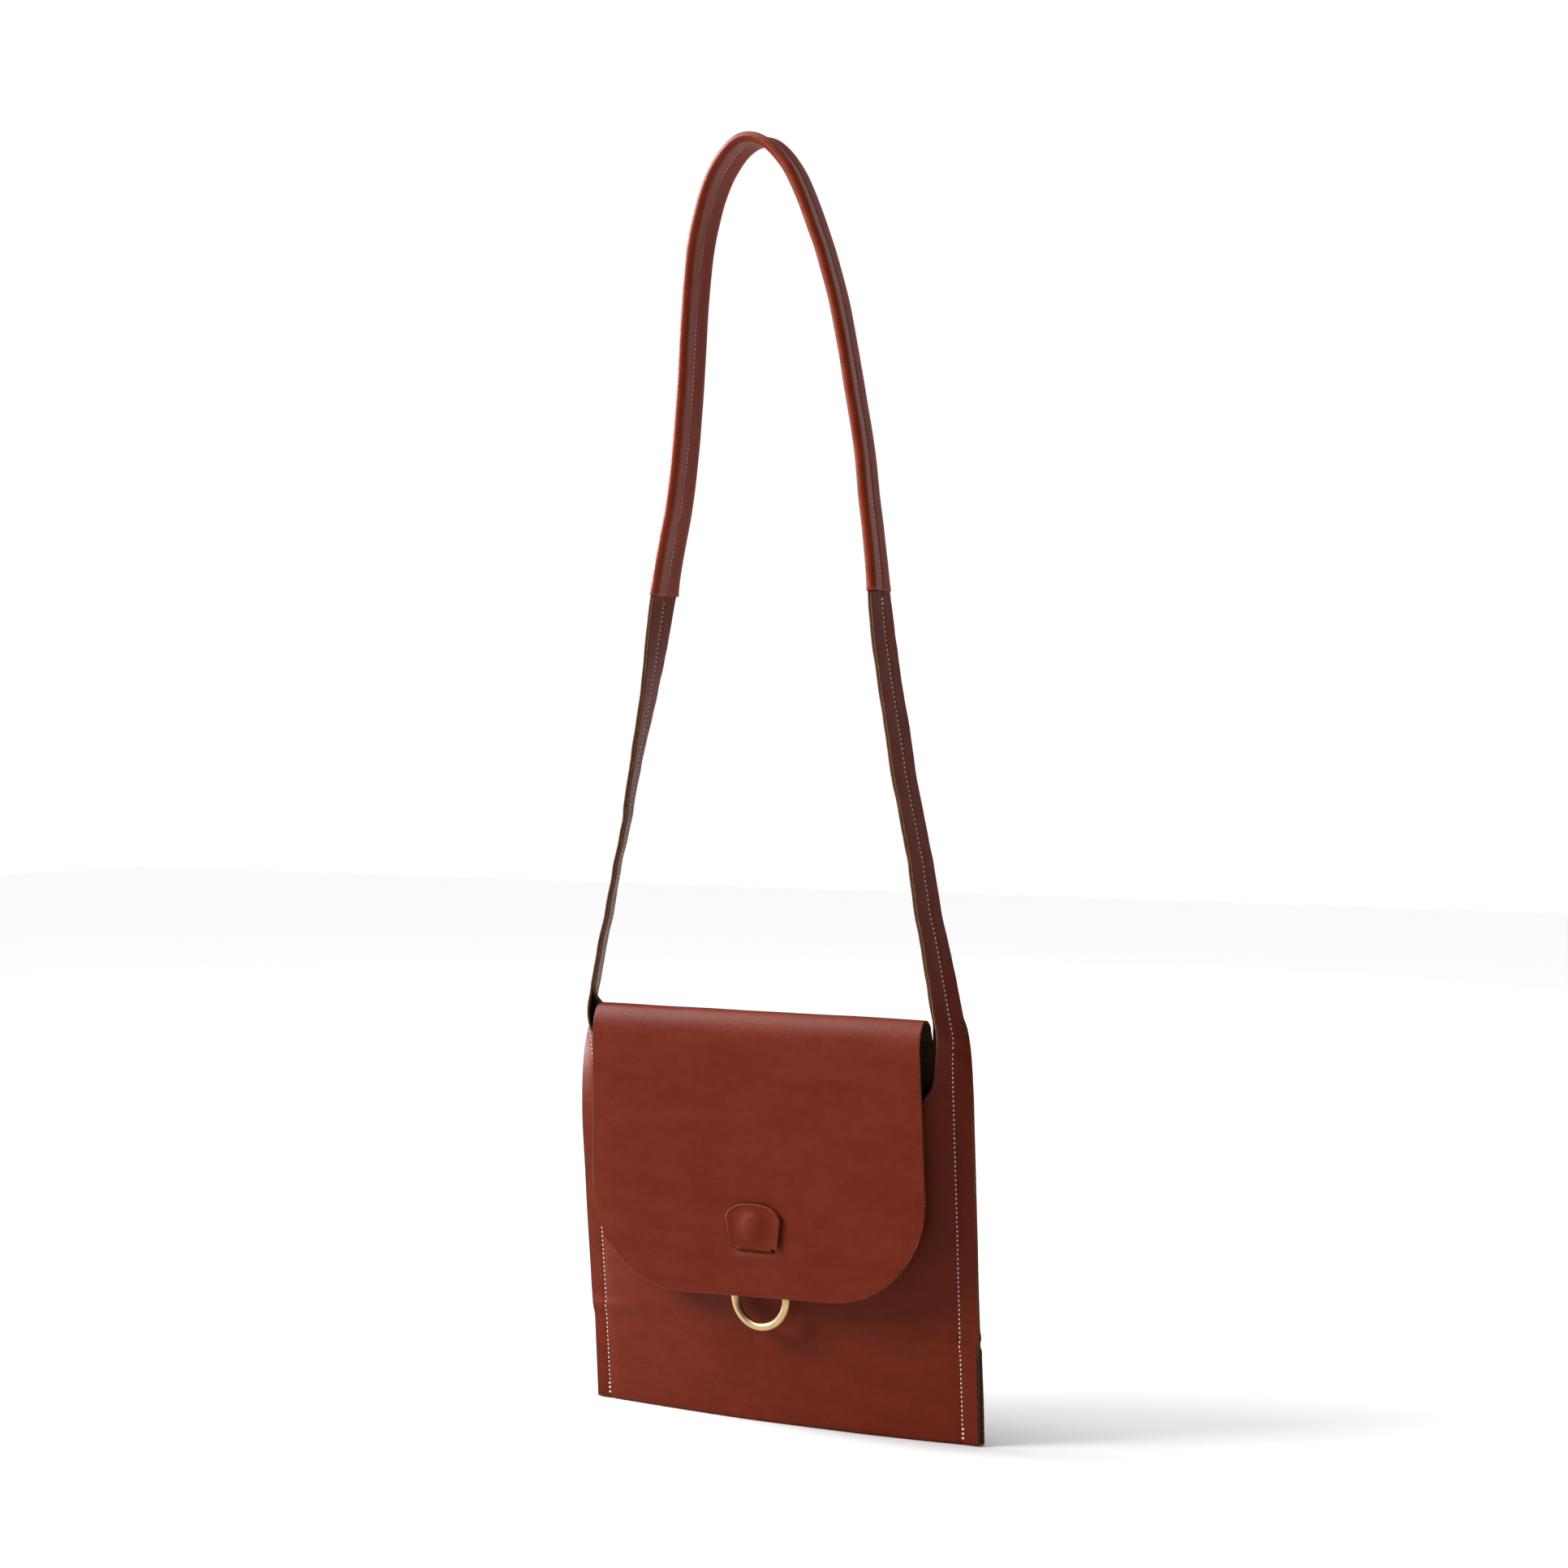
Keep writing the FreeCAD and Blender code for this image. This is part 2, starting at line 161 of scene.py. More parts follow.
def bodyWave(x, z):
    # slow waviness that every ply of the body shares
    soft = noise.noise(Vector((x * 0.013 + 3.1, z * 0.015, 0.4)))
    fine = noise.noise(Vector((x * 0.035, z * 0.04 + 7.7, 1.9)))
    edge = ease(96, 126, abs(x))
    pucker = edge * (0.6 * bump(z, 66, 4) - 0.8 * bump(z, 60, 2.6))
    tug = ease(60, 122, abs(x)) * bump(z - 0.12 * (130 - abs(x)), bag["notch"], 9)
    return 0.9 * soft + 0.25 * fine + pucker - 0.6 * tug


def planSpot(shape, side, s, z, offset):
    # s counts outward from the stitch line, offset is towards the back
    bulge, flatness = alongRows(shape["stations"], min(z, bag["planTop"]))
    seamX, seamY = seamSpot(z)
    turn = flangeAngle(z)
    if s >= 0:
        x = seamX + s * math.cos(turn)
        y = seamY + s * math.sin(turn)
        tilt = turn
    else:
        steps = 14
        x = seamX
        for i in range(steps):
            slope = bulge * flatness / seamX * (x / seamX) ** (flatness - 1)
            x -= -s / steps / math.hypot(1, slope)
        y = seamY - bulge * (1 - (x / seamX) ** flatness)
        tilt = math.atan(bulge * flatness / seamX * (x / seamX) ** (flatness - 1))
    seamTilt = math.atan(bulge * flatness / seamX)
    middle = (seamTilt + turn) / 2
    near = math.exp(-abs(s) / 2.5)
    tilt = mix(tilt, middle, near)
    groove = 0.3 * bump(s, 0, 1.1)
    away = offset + (groove if offset < 1 else -groove)
    x -= math.sin(tilt) * away
    y += math.cos(tilt) * away + bodyWave(side * x, z)
    return Vector((side * x, y, z))


def legRow(side, z):
    spread, y, turn = alongRows(legShape["right" if side > 0 else "left"], z)
    angle = math.radians(turn)
    centre = Vector((side * spread, y, z))
    across = Vector((side * math.cos(angle), math.sin(angle), 0))
    inward = Vector((-side * math.sin(angle), math.cos(angle), 0))
    return centre, across, inward


def legWave(side, z):
    kinks = 0.8 * bump(z, 310, 7) - 0.7 * bump(z, 345, 6) + 0.6 * bump(z, 372, 5)
    if side > 0:
        kinks = 0.7 * bump(z, 318, 8) - 0.5 * bump(z, 350, 6) + 0.4 * bump(z, 402, 8)
    return kinks + 0.9 * noise.noise(Vector((side * 5.3, 0.7, z * 0.018)))


def legSpot(side, s, z, offset):
    # offset 0 is the meeting face of the two plies; the front ply's grain is at -ply
    centre, across, inward = legRow(side, z)
    ripple = 0.35 * noise.noise(Vector((side * 2.2, s * 0.05, z * 0.06)))
    edge = 0.3 * (abs(s) / legShape["half"]) ** 3 * noise.noise(Vector((side, s * 0.2, z * 0.11)))
    groove = 0.32 * bump(s, 0, 1.1) * (1 if offset < 0 else -1)
    return centre + across * s + inward * (offset + groove + legWave(side, z) + ripple + edge)


def earColumns(width, inner):
    # distances from the stitch line: the flange edge first, the inner boundary last
    return [width, width - 0.9, width * 0.66, width * 0.33, 1.7, 0.8, 0, -0.8, -1.7,
            -inner * 0.3, -inner * 0.5, -inner * 0.72, -(inner - 0.9), -inner]


def frontInner(z):
    low, top = bag["mouthBottom"], bag["mouthBottom"] + bag["mouthRadius"]
    if z <= low:
        return frontShape["earInner"]
    reach = bag["mouthRadius"]
    arc = math.sqrt(max(0.0, reach ** 2 - (top - min(z, top)) ** 2)) / reach
    share = mix(frontShape["earInner"], frontShape["earTop"], arc)
    return mix(share, legShape["half"], ease(228, 258, z))


def backInner(z):
    return backShape["earInner"]


def backLayers(x, z):
    # the pleat adds two plies at the side seams; the middle of the back hides the step
    seamed = mix(4, 2, ease(61, 71, z))
    free = mix(4, 2, ease(45, 150, z))
    return mix(free, seamed, ease(70, 124, abs(x)))


def frontSpot(side, s, z):
    flat = planSpot(frontShape, side, s, z, 0.0)
    t = ease(frontShape["legStart"], frontShape["legEnd"], z)
    return flat if t == 0 else flat.lerp(legSpot(side, s, z, -bag["ply"]), t)


def backSpot(side, s, z):
    flat = planSpot(backShape, side, s, z, backLayers(seamSpot(z)[0] + s, z) * bag["ply"])
    t = ease(backShape["legStart"], backShape["legEnd"], z)
    return flat if t == 0 else flat.lerp(legSpot(side, s, z, bag["ply"]), t)


def acrossShare():
    # shares of the half width: close together near the side edges
    inner = [i / 12 * 0.9 for i in range(0, 13)]
    outer = [0.925, 0.95, 0.97, 0.985, 0.993]
    half = inner + outer
    return [-v for v in reversed(half[1:])] + half


def makeSheet(name, grid, thick, openRows=(), chamfer=0.45, holes=()):
    # grid holds rows of millimetre points (or None); the grain side is counter-clockwise
    index, points = {}, []
    for r, row in enumerate(grid):
        for c, spot in enumerate(row):
            if spot is not None:
                index[r, c] = len(points)
                points.append(Vector(spot))
    rowOf = {i: r for (r, c), i in index.items()}
    faces = []
    for r in range(len(grid) - 1):
        for c in range(len(grid[r]) - 1):
            corners = [(r, c), (r, c + 1), (r + 1, c + 1), (r + 1, c)]
            if all(k in index for k in corners) and (r, c) not in holes:
                faces.append([index[k] for k in corners])
    normals = [Vector() for p in points]
    directed = set()
    for face in faces:
        a, b, c, d = [points[i] for i in face]
        tilt = (c - a).cross(d - b)
        if tilt.length:
            tilt.normalize()
        for i in range(4):
            normals[face[i]] += tilt
            directed.add((face[i], face[(i + 1) % 4]))
    for n in normals:
        n.normalize()
    rim = [(a, b) for a, b in directed if (b, a) not in directed]
    closed = [(a, b) for a, b in rim
              if not (rowOf[a] == rowOf[b] and rowOf[a] in [v % len(grid) for v in openRows])]
    outward = {}
    for a, b in closed:
        run = (points[b] - points[a]).cross((normals[a] + normals[b]) / 2)
        if run.length:
            run.normalize()
        for i in (a, b):
            outward[i] = outward.get(i, Vector()) + run
    vertices, edgeMask = [], []
    outer, inner, high, low = {}, {}, {}, {}
    for i, spot in enumerate(points):
        push = outward.get(i, Vector())
        if push.length:
            push.normalize()
        outer[i] = len(vertices)
        vertices.append(spot - push * chamfer)
        inner[i] = len(vertices)
        vertices.append(spot - normals[i] * thick - push * chamfer)
        edgeMask += [1.0 if i in outward else 0.0] * 2
        if i in outward:
            high[i] = len(vertices)
            vertices.append(spot - normals[i] * chamfer)
            low[i] = len(vertices)
            vertices.append(spot - normals[i] * (thick - chamfer))
            edgeMask += [1.0, 1.0]
    skin = [[outer[i] for i in face] for face in faces]
    slots = [0] * len(skin)
    skin += [[inner[i] for i in reversed(face)] for face in faces]
    slots += [1] * len(faces)
    for a, b in closed:
        skin += [[outer[b], outer[a], high[a], high[b]], [high[b], high[a], low[a], low[b]],
                 [low[b], low[a], inner[a], inner[b]]]
        slots += [2, 2, 2]
    return makeMesh(name, vertices, skin, slots, edgeMask)


def makeMesh(name, vertices, faces, slots=None, edgeMask=None):
    mesh = bpy.data.meshes.new(name)
    mesh.from_pydata([place(*v) for v in vertices], [], faces)
    if slots:
        mesh.polygons.foreach_set("material_index", slots)
    if edgeMask:
        worn = mesh.attributes.new("edgeMask", "FLOAT", "POINT")
        worn.data.foreach_set("value", edgeMask)
    mesh.polygons.foreach_set("use_smooth", [True] * len(mesh.polygons))
    mesh.validate()
    mesh.update()
    piece = bpy.data.objects.new(name, mesh)
    bpy.context.scene.collection.objects.link(piece)
    return piece


def sheetRow(spotAt, z, innerAt, widthAt, leftFirst=True, earsOnly=False):
    # one row of a body sheet: left ear, middle, right ear (or the other way round); spotAt takes
    # side None for the middle, where its second value is x
    inner = innerAt(z)
    ear = earColumns(widthAt(z), inner)
    first, second = (-1, 1) if leftFirst else (1, -1)
    row = [spotAt(first, s, z) for s in ear]
    if earsOnly:
        row += [None] * len(middleShares)
    else:
        edgeX = abs(spotAt(1, -inner, z).x)
        row += [spotAt(None, share * edgeX * (1 if leftFirst else -1), z) for share in middleShares]
    return row + [spotAt(second, s, z) for s in reversed(ear)]


def middleSpot(shape, x, z, offset):
    bulge, flatness = alongRows(shape["stations"], min(z, bag["planTop"]))
    seamX, seamY = seamSpot(z)
    tilt = math.atan(bulge * flatness / seamX * (abs(x) / seamX) ** (flatness - 1))
    side = 1 if x > 0 else -1
    y = seamY - bulge * (1 - (abs(x) / seamX) ** flatness)
    shifted = x - side * math.sin(tilt) * offset
    return Vector((shifted, y + math.cos(tilt) * offset + bodyWave(shifted, z), z))


def frontAt(side, s, z):
    return middleSpot(frontShape, s, z, 0.0) if side is None else frontSpot(side, s, z)


def backAt(side, s, z):
    if side is None:
        return middleSpot(backShape, s, z, backLayers(s, z) * bag["ply"])
    return backSpot(side, s, z)


def heights(low, high, step):
    count = max(1, round((high - low) / step))
    return [low + (high - low) * i / count for i in range(count + 1)]


middleShares = acrossShare()
foldR = frontShape["foldRadius"]
bodyZ = [foldR, 4, 7] + heights(10, 50, 5) + heights(53, 70, 2.4) + heights(74, 204, 5)
mouthZ = [205, 205.3, 206, 207.5, 209.5, 212, 215, 218, 221.5, 225]
legZ = heights(228, legShape["plyJoin"], 3.2)


def foldRow(row, turn, back):
    # one row of the lower fold; back is 1 where the fold turns backwards, -1 forwards
    angle = math.radians(turn)
    return [p + Vector((0, back * (foldR - foldR * math.cos(angle)), -foldR * math.sin(angle)))
            for p in row]


# front panel: the lower fold, the panel, the mouth between the ears, the strap's front plies
frontFoot = sheetRow(frontAt, foldR, frontInner, flangeWidth)
frontGrid = [foldRow(frontFoot, turn, 1) for turn in (90, 60, 30)]
for z in bodyZ + mouthZ + legZ:
    frontGrid.append(sheetRow(frontAt, z, frontInner, flangeWidth, earsOnly=z > bag["mouthBottom"]))
frontPanel = makeSheet("front_panel_leather", frontGrid, bag["ply"], openRows=(0, -1))
print("front panel", len(frontPanel.data.vertices))

# back panel: built from right to left so that its grain faces back
backZ = [foldR, 4, 7] + heights(10, 50, 5) + heights(53, 76, 2.4) + heights(80, 239, 5)
backEdge = sheetRow(backAt, foldR, backInner, backWidth, leftFirst=False)
backGrid = [foldRow(backEdge, turn, -1) for turn in (90, 60, 30)]
for z in backZ + [backShape["flapRow"]]:
    backGrid.append(sheetRow(backAt, z, backInner, backWidth, leftFirst=False))
for z in heights(243.6, 252, 1.7) + heights(254, legShape["plyJoin"], 3.15):
    backGrid.append(sheetRow(backAt, z, backInner, backWidth, leftFirst=False, earsOnly=True))
backPanel = makeSheet("back_panel_leather", backGrid, bag["ply"], openRows=(0, -1))
print("back panel", len(backPanel.data.vertices))

# bottom pleat: from the front fold up to the crease and down to the back fold
backFoot = sheetRow(backAt, foldR, backInner, backWidth)
pleatUp = [0, 0.04, 0.1] + [0.1 + 0.1 * i for i in range(1, 9)] + [0.95, 0.985, 1.0]
pleatDown = [1.0, 0.985, 0.95] + [0.9 - 0.1 * i for i in range(0, 9)] + [0.04, 0]


def pleatRow(share, foot, back):
    # back is 1 on the leaf behind the front panel, -1 on the leaf before the back panel
    z = foldR + (bag["pleatHeight"] - foldR) * share
    frontNow = sheetRow(frontAt, z, frontInner, flangeWidth)
    backNow = sheetRow(backAt, z, backInner, backWidth)
    row = []
    for low, high, start in zip(frontNow, backNow, foot):
        crease = (low.y + high.y) / 2 - 0.15 * back
        y = mix(start.y + 2 * foldR * back, crease, share ** 1.3)
        wall = max(y, low.y + 2 * foldR - 0.02) if back > 0 else min(y, high.y - 2 * foldR + 0.02)
        row.append(Vector((low.x, wall, z)))
    return row


pleatGrid = [foldRow(frontFoot, turn, 1) for turn in (90, 120, 150)]
pleatGrid += [pleatRow(share, frontFoot, 1) for share in pleatUp]
pleatGrid += [pleatRow(share, backFoot, -1) for share in pleatDown]
pleatGrid += [foldRow(backFoot, turn, -1) for turn in (150, 120, 90)]
for row in pleatGrid:
    row.reverse()
bottomPleat = makeSheet("bottom_pleat_leather", pleatGrid, bag["ply"] - 0.05, openRows=(0, -1))
print("pleat", len(bottomPleat.data.vertices))

# flap: leaves the back panel, rolls over the top and hangs down the front
flapShape = {
    "rollY": -27.3, "rollZ": 247.6, "rollR": 8.8, "frontFall": 19.0,
    # height and y down the front
    "profile": [(60, -30.6), (80, -31.6), (98, -32.4), (117, -33.4), (135, -33.9), (155, -35.0),
                (190, -36.2), (225, -36.2), (247.6, -36.1)],
    "rootHalf": 114.4, "halfTop": 115.0, "half": 117.3,
    "lowLeft": 78.5, "lowRight": 85.0, "corner": 64.0,
    "slitHigh": 112.2, "slitLow": 110.2, "slitHalf": 13.2, "tabX": 1.0,
    "straightEnd": 150.0,
}


def flapHalfAt(z):
    return mix(flapShape["halfTop"], flapShape["half"], ease(250, 185, z) if z < 250 else 0)


def flapLowAt(x):
    half, r = flapShape["half"], flapShape["corner"]
    base = mix(flapShape["lowLeft"], flapShape["lowRight"], (x + half) / (2 * half))
    over = abs(x) - (half - r)
    if over <= 0:
        return base
    return base + r - math.sqrt(max(0.0, r * r - over * over))


def flapColumns():
    half, r, c = flapShape["half"], flapShape["corner"], flapShape["slitHalf"]
    corner = [half - r + r * math.sin(math.radians(7.5 * i)) for i in range(0, 13)]
    right = [flapShape["tabX"] + c] + [20, 26, 32, 38, 44, 49] + corner
    left = [flapShape["tabX"] - c] + [-18, -25, -32, -38, -44, -49] + [-v for v in corner]
    inside = [flapShape["tabX"] + v for v in (-9, -4.5, 0, 4.5, 9)]
    return sorted(left) + inside + sorted(right)


def flapWave(x, z):
    soft = noise.noise(Vector((x * 0.014 + 9.3, z * 0.012 + 2.2, 5.5)))
    fine = noise.noise(Vector((x * 0.04 + 1.3, z * 0.03, 8.1)))
    down = ease(250, 200, z) if z < 250 else 0
    dish = 0.7 * math.exp(-((x - 1) / 30) ** 2 - ((z - 122) / 26) ** 2)
    return down * (0.9 * soft + 0.25 * fine) + dish


def flapSpot(share, z):
    x = share * flapHalfAt(z)
    y = alongRows(flapShape["profile"], z)[0]
    curl = 1.6 * abs(share) ** 6 * ease(225, 150, z) if z < 225 else 0
    return Vector((x, y + flapWave(x, z) + curl, z))


columns = sorted(-x / flapShape["half"] for x in flapColumns())
flapGrid = []
rootHalf, rootZ = flapShape["rootHalf"], backShape["flapRow"]
flapGrid.append([middleSpot(backShape, -share * rootHalf, rootZ, backLayers(0, rootZ) * bag["ply"])
                 for share in columns])
rollY, rollZ = flapShape["rollY"], flapShape["rollZ"]
for turn in range(8, 181, 9):
    angle = math.radians(turn)
    lift = math.sin(angle)
    row = []
    for share in columns:
        half = mix(rootHalf, flapShape["halfTop"], ease(0, 90, turn))
        x = -share * half
        wave = 0.45 * noise.noise(Vector((x * 0.02 + 4.0, 0.3, 0.8))) * lift
        r = flapShape["rollR"] + wave
        z = rollZ + r * lift
        if turn > 90:
            z = rollZ + r - flapShape["frontFall"] * (1 - lift)
        row.append(Vector((x, rollY + r * math.cos(angle), z)))
    flapGrid.append(row)
straight = flapShape["straightEnd"]
for z in heights(234, straight, 5):
    flapGrid.append([flapSpot(-share, z) for share in columns])
fall = straight - flapLowAt(flapShape["tabX"])
slitTop, slitEnd = (straight - flapShape["slitHigh"]) / fall, (straight - flapShape["slitLow"]) / fall
shares = [0.08, 0.16, 0.25, 0.34, 0.43, 0.5, slitTop, slitEnd,
          0.66, 0.75, 0.84, 0.91, 0.96, 0.985, 1.0]
slitRow = len(flapGrid) + shares.index(slitTop)
for share in shares:
    row = []
    for u in columns:
        x = -u * flapShape["half"]  # the lower edge is set by the full half width
        row.append(flapSpot(-u, mix(straight, flapLowAt(x), share)))
    flapGrid.append(row)
slitHoles = set()
for c in range(len(columns) - 1):
    centre = -(columns[c] + columns[c + 1]) / 2 * flapShape["half"]
    if abs(centre - flapShape["tabX"]) < flapShape["slitHalf"]:
        slitHoles.add((slitRow, c))
flapSheet = makeSheet("flap_leather", flapGrid, bag["ply"], openRows=(0,), holes=slitHoles)
print("flap", len(flapSheet.data.vertices))

# strap plies between the body pieces and the sleeve
def legPiece(name, side, offset, reverse):
    spots = earColumns(legShape["half"], legShape["half"])
    if reverse:
        spots.reverse()
    grid = []
    for z in heights(legShape["plyJoin"], legShape["sleeveStart"], 3.3) + [516, 520]:
        grid.append([legSpot(side, s, z, offset) for s in spots])
    return makeSheet(name, grid, bag["ply"], openRows=(0,))


legPlies = {}
for side, word in ((-1, "left"), (1, "right")):
    legPlies["front_" + word] = legPiece("leg_front_leather_" + word, side, -bag["ply"], side > 0)
    legPlies["back_" + word] = legPiece("leg_back_leather_" + word, side, bag["ply"], side < 0)
print("strap plies made")

# sleeve: rolled long edges, pressed in along the centre stitch
sleeveShape = {
    # x, z, twist of the section in degrees
    "route": [(-76, 511, 1), (-74, 523, 2), (-69.6, 545, 2), (-64.7, 567, 2.5), (-60.6, 597, 2.5),
              (-57.6, 627, 2.5), (-55.4, 656, 2.5), (-53.4, 687, 2.5), (-50.4, 716, 2),
              (-48, 731, 2), (-44.4, 746, 2), (-41.2, 757, 2), (-36.2, 769, 1.5),
              (-31.5, 777, 1), (-24.5, 785.3, 1), (-17, 790.6, 0), (-9.8, 792.3, 0),
              (-2, 790.6, -1), (5.8, 785.2, -3), (13, 777.2, -5), (18.6, 769, -7),
              (24.4, 757, -8), (28.9, 746, -8.5), (34.5, 731, -9), (39.8, 716, -10),
              (48.2, 687, -10.5), (55, 656, -11), (60.6, 627, -11), (65.9, 597, -11),
              (69.4, 567, -10), (72.4, 545, -9), (74.9, 523, -8), (76, 511, -7)],
    "crownDrop": 4.2,
    "y": -13.5,
    "half": 14.3, "edgeR": 3.15, "waist": 2.15,
    "wall": 1.4, "flare": 0.05, "step": 2.6,
    "insideScale": 0.58, "lip": 1.03,
    "seamAt": 2.35, "seamRise": 0.55,
}


def sleevePath():
    route = sleeveShape["route"]
    rows, run = [], 0.0
    for i, (x, z, twist) in enumerate(route):
        if i:
            run += math.hypot(x - route[i - 1][0], z - route[i - 1][1])
        rows.append((run, x, z - sleeveShape["crownDrop"] * ease(690, 790, z), twist))
    return rows, run


sleeveRows, sleeveLength = sleevePath()


def sleeveFrame(run):
    x, z, twist = alongRows(sleeveRows, run)
    back = alongRows(sleeveRows, max(0.0, run - 1.0))
    ahead = alongRows(sleeveRows, min(sleeveLength, run + 1.0))
    along = Vector((ahead[0] - back[0], 0, ahead[1] - back[1])).normalized()
    across = Matrix.Rotation(math.radians(twist), 3, along) @ Vector((0, 1, 0))
    inward = -along.cross(across)
    wave = 0.5 * noise.noise(Vector((run * 0.02, 3.3, 1.1)))
    return Vector((x, sleeveShape["y"] + wave, z)), across, inward, along


def sleeveSection():
    # (across, inward) pairs around the section; the butt seam is on the outer face
    r, seamAt = sleeveShape["edgeR"], sleeveShape["seamAt"]
    centre = sleeveShape["half"] - r
    ring = []
    for i in range(0, 9):
        angle = math.radians(-90 + 22.5 * i)
        ring.append((centre + r * math.cos(angle), r * math.sin(angle)))
    face = [9.6, 8.0, 6.4, 5.0, 3.6, 2.9, 2.6, seamAt, 2.1, 1.6, 0.9, 0.45, 0]
    for a in face + [-v for v in reversed(face[:-1]) if v not in (2.9, 2.6, seamAt, 2.1)]:
        ring.append((a, faceHeight(a)))
    for i in range(0, 9):
        angle = math.radians(90 + 22.5 * i)
        ring.append((-centre + r * math.cos(angle), r * math.sin(angle)))
    under = [v for v in face if v not in (2.9, 2.1)]
    for a in [-v for v in under[:-1] if v not in (2.6, seamAt)] + [0] + list(reversed(under[:-1])):
        ring.append((a, -faceHeight(a) + (sleeveShape["seamRise"] if a == seamAt else 0.0)))
    return ring


def faceHeight(a):
    r, waist = sleeveShape["edgeR"], sleeveShape["waist"]
    centre = sleeveShape["half"] - r
    rise = ease(1.0, centre, abs(a))
    return waist + (r - waist) * rise - 0.35 * math.exp(-(a / 0.8) ** 2)


def makeSleeve():
    ring = sleeveSection()
    count = len(ring)
    runs = heights(0, sleeveLength, sleeveShape["step"])
    vertices, faces, slots, mask = [], [], [], []

    def addRing(run, scaleA, scaleN, shift=0.0):
        centre, across, inward, along = sleeveFrame(run)
        for a, n in ring:
            lump = 0.18 * noise.noise(Vector((run * 0.05, a * 0.12, n * 0.2)))
            grow = 1 + lump / max(2.0, abs(n))
            vertices.append(centre + along * shift + across * a * scaleA + inward * n * scaleN * grow)

    def joinRings(first, second, slot):
        for i in range(count):
            j = (i + 1) % count
            faces.append([first + i, second + i, second + j, first + j])
            slots.append(slot)

    wallA = 1 - sleeveShape["wall"] / sleeveShape["half"]
    wallN, lip = sleeveShape["insideScale"], sleeveShape["lip"]
    depths = [12.0, 6.0, 0.8]
    for d in depths:
        addRing(d, wallA, wallN)
        mask += [0.0] * count
    addRing(0.0, wallA + 0.02, wallN + 0.08)
    addRing(0.0, lip, lip)
    mask += [1.0] * (2 * count)
    for run in [0.8] + [r for r in runs if 2 < r < sleeveLength - 2] + [sleeveLength - 0.8]:
        near = min(run, sleeveLength - run)
        flare = 1 + sleeveShape["flare"] * math.exp(-near / 4.0)
        addRing(run, flare, flare)
        mask += [1.0 if near < 1 else 0.0] * count
    addRing(sleeveLength, lip, lip)
    addRing(sleeveLength, wallA + 0.02, wallN + 0.08)
    mask += [1.0] * (2 * count)
    for d in reversed(depths):
        addRing(sleeveLength - d, wallA, wallN)
        mask += [0.0] * count
    rings = len(vertices) // count
    for k in range(rings - 1):
        inside = k < len(depths) or k > rings - 2 - len(depths)
        rimRow = k in (len(depths), rings - 2 - len(depths))
        joinRings(k * count, (k + 1) * count, 2 if rimRow else (1 if inside else 0))
    return makeMesh("strap_sleeve_leather", vertices, faces, slots, mask)


sleevePiece = makeSleeve()
print("sleeve", len(sleevePiece.data.vertices))

# pull tab: head over the snap, neck through the slit, loop round the ring
tabShape = {
    "x": 1.0, "low": 112.8, "sideTop": 130.0, "archTop": 139.3,
    "halfLow": 16.9, "halfTop": 18.4, "neck": 12.4, "loop": 4.2,
    "domeZ": 126.0, "dome": 2.1, "domeR": 8.0, "lift": 2.2,
    # path behind the flap: y, z, half width
    "strip": [(-34.9, 111.3, 12.4), (-33.6, 110.6, 12.4), (-32.4, 110.4, 12.4),
              (-31.6, 110.0, 12.2), (-31.3, 108.8, 11.0), (-31.3, 106.8, 7.5),
              (-31.2, 104.4, 4.6), (-30.9, 101.8, 4.2)],
    "ringZ": 98.8, "loopR": 4.6,
    "leather": 1.35,
}


def tabHalf(z):
    return mix(tabShape["halfLow"], tabShape["halfTop"], ease(112, 131, z))


def makeTab():
    neckShare = tabShape["neck"] / tabShape["halfLow"]
    outerShares = [1.0, 0.985, 0.95, 0.89, 0.82]
    innerShares = [neckShare, 0.55, 0.36, 0.18]
    shares = outerShares + innerShares
    columns = shares + [0] + [-v for v in reversed(shares)]
    grid = []
    for share in [1, 0.985, 0.95, 0.88, 0.8, 0.7, 0.6, 0.5, 0.4, 0.3, 0.2, 0.1, 0.04, 0]:
        row = []
        for u in columns:
            arch = mix(tabShape["sideTop"], tabShape["archTop"], max(0.0, 1 - abs(u) ** 2.6) ** 0.5)
            z = mix(tabShape["low"], arch, share)
            x = tabShape["x"] + u * tabHalf(z)
            away = math.hypot(x - tabShape["x"], z - tabShape["domeZ"])
            dome = tabShape["dome"] * math.exp(-(away / tabShape["domeR"]) ** 4)
            soft = 0.5 * math.exp(-(away / 15) ** 2)
            base = alongRows(flapShape["profile"], z)[0] + flapWave(x, z)
            curl = 1.2 * abs(u) ** 6 + 1.4 * share ** 8
            row.append(Vector((x, base - tabShape["lift"] - dome - soft - curl * 0.4, z)))
        grid.append(row)
    neckStart = [i for i, u in enumerate(columns) if abs(u) <= neckShare + 0.001]
    for y, z, half in tabShape["strip"]:
        row = [None] * len(columns)
        for i in neckStart:
            row[i] = Vector((tabShape["x"] + columns[i] / neckShare * half, y, z))
        grid.append(row)
    for turn in range(180, 520, 20):
        angle = math.radians(turn)
        row = [None] * len(columns)
        for i in neckStart:
            row[i] = Vector((tabShape["x"] + columns[i] / neckShare * tabShape["loop"],
                             bag["ringY"] + tabShape["loopR"] * math.cos(angle),
                             tabShape["ringZ"] + tabShape["loopR"] * math.sin(angle)))
        grid.append(row)
    return makeSheet("pull_tab_leather", grid, tabShape["leather"], chamfer=0.25)


pullTab = makeTab()

# ring: drawn brass wire with a brazed joint at the top
ringShape = {
    "x": 1.0, "z": 80.9, "radius": 18.0, "wire": 2.6,
    "around": 144, "section": 24,
    "jointAt": 100, "jointWidth": 2.2, "jointDip": 0.07,
}


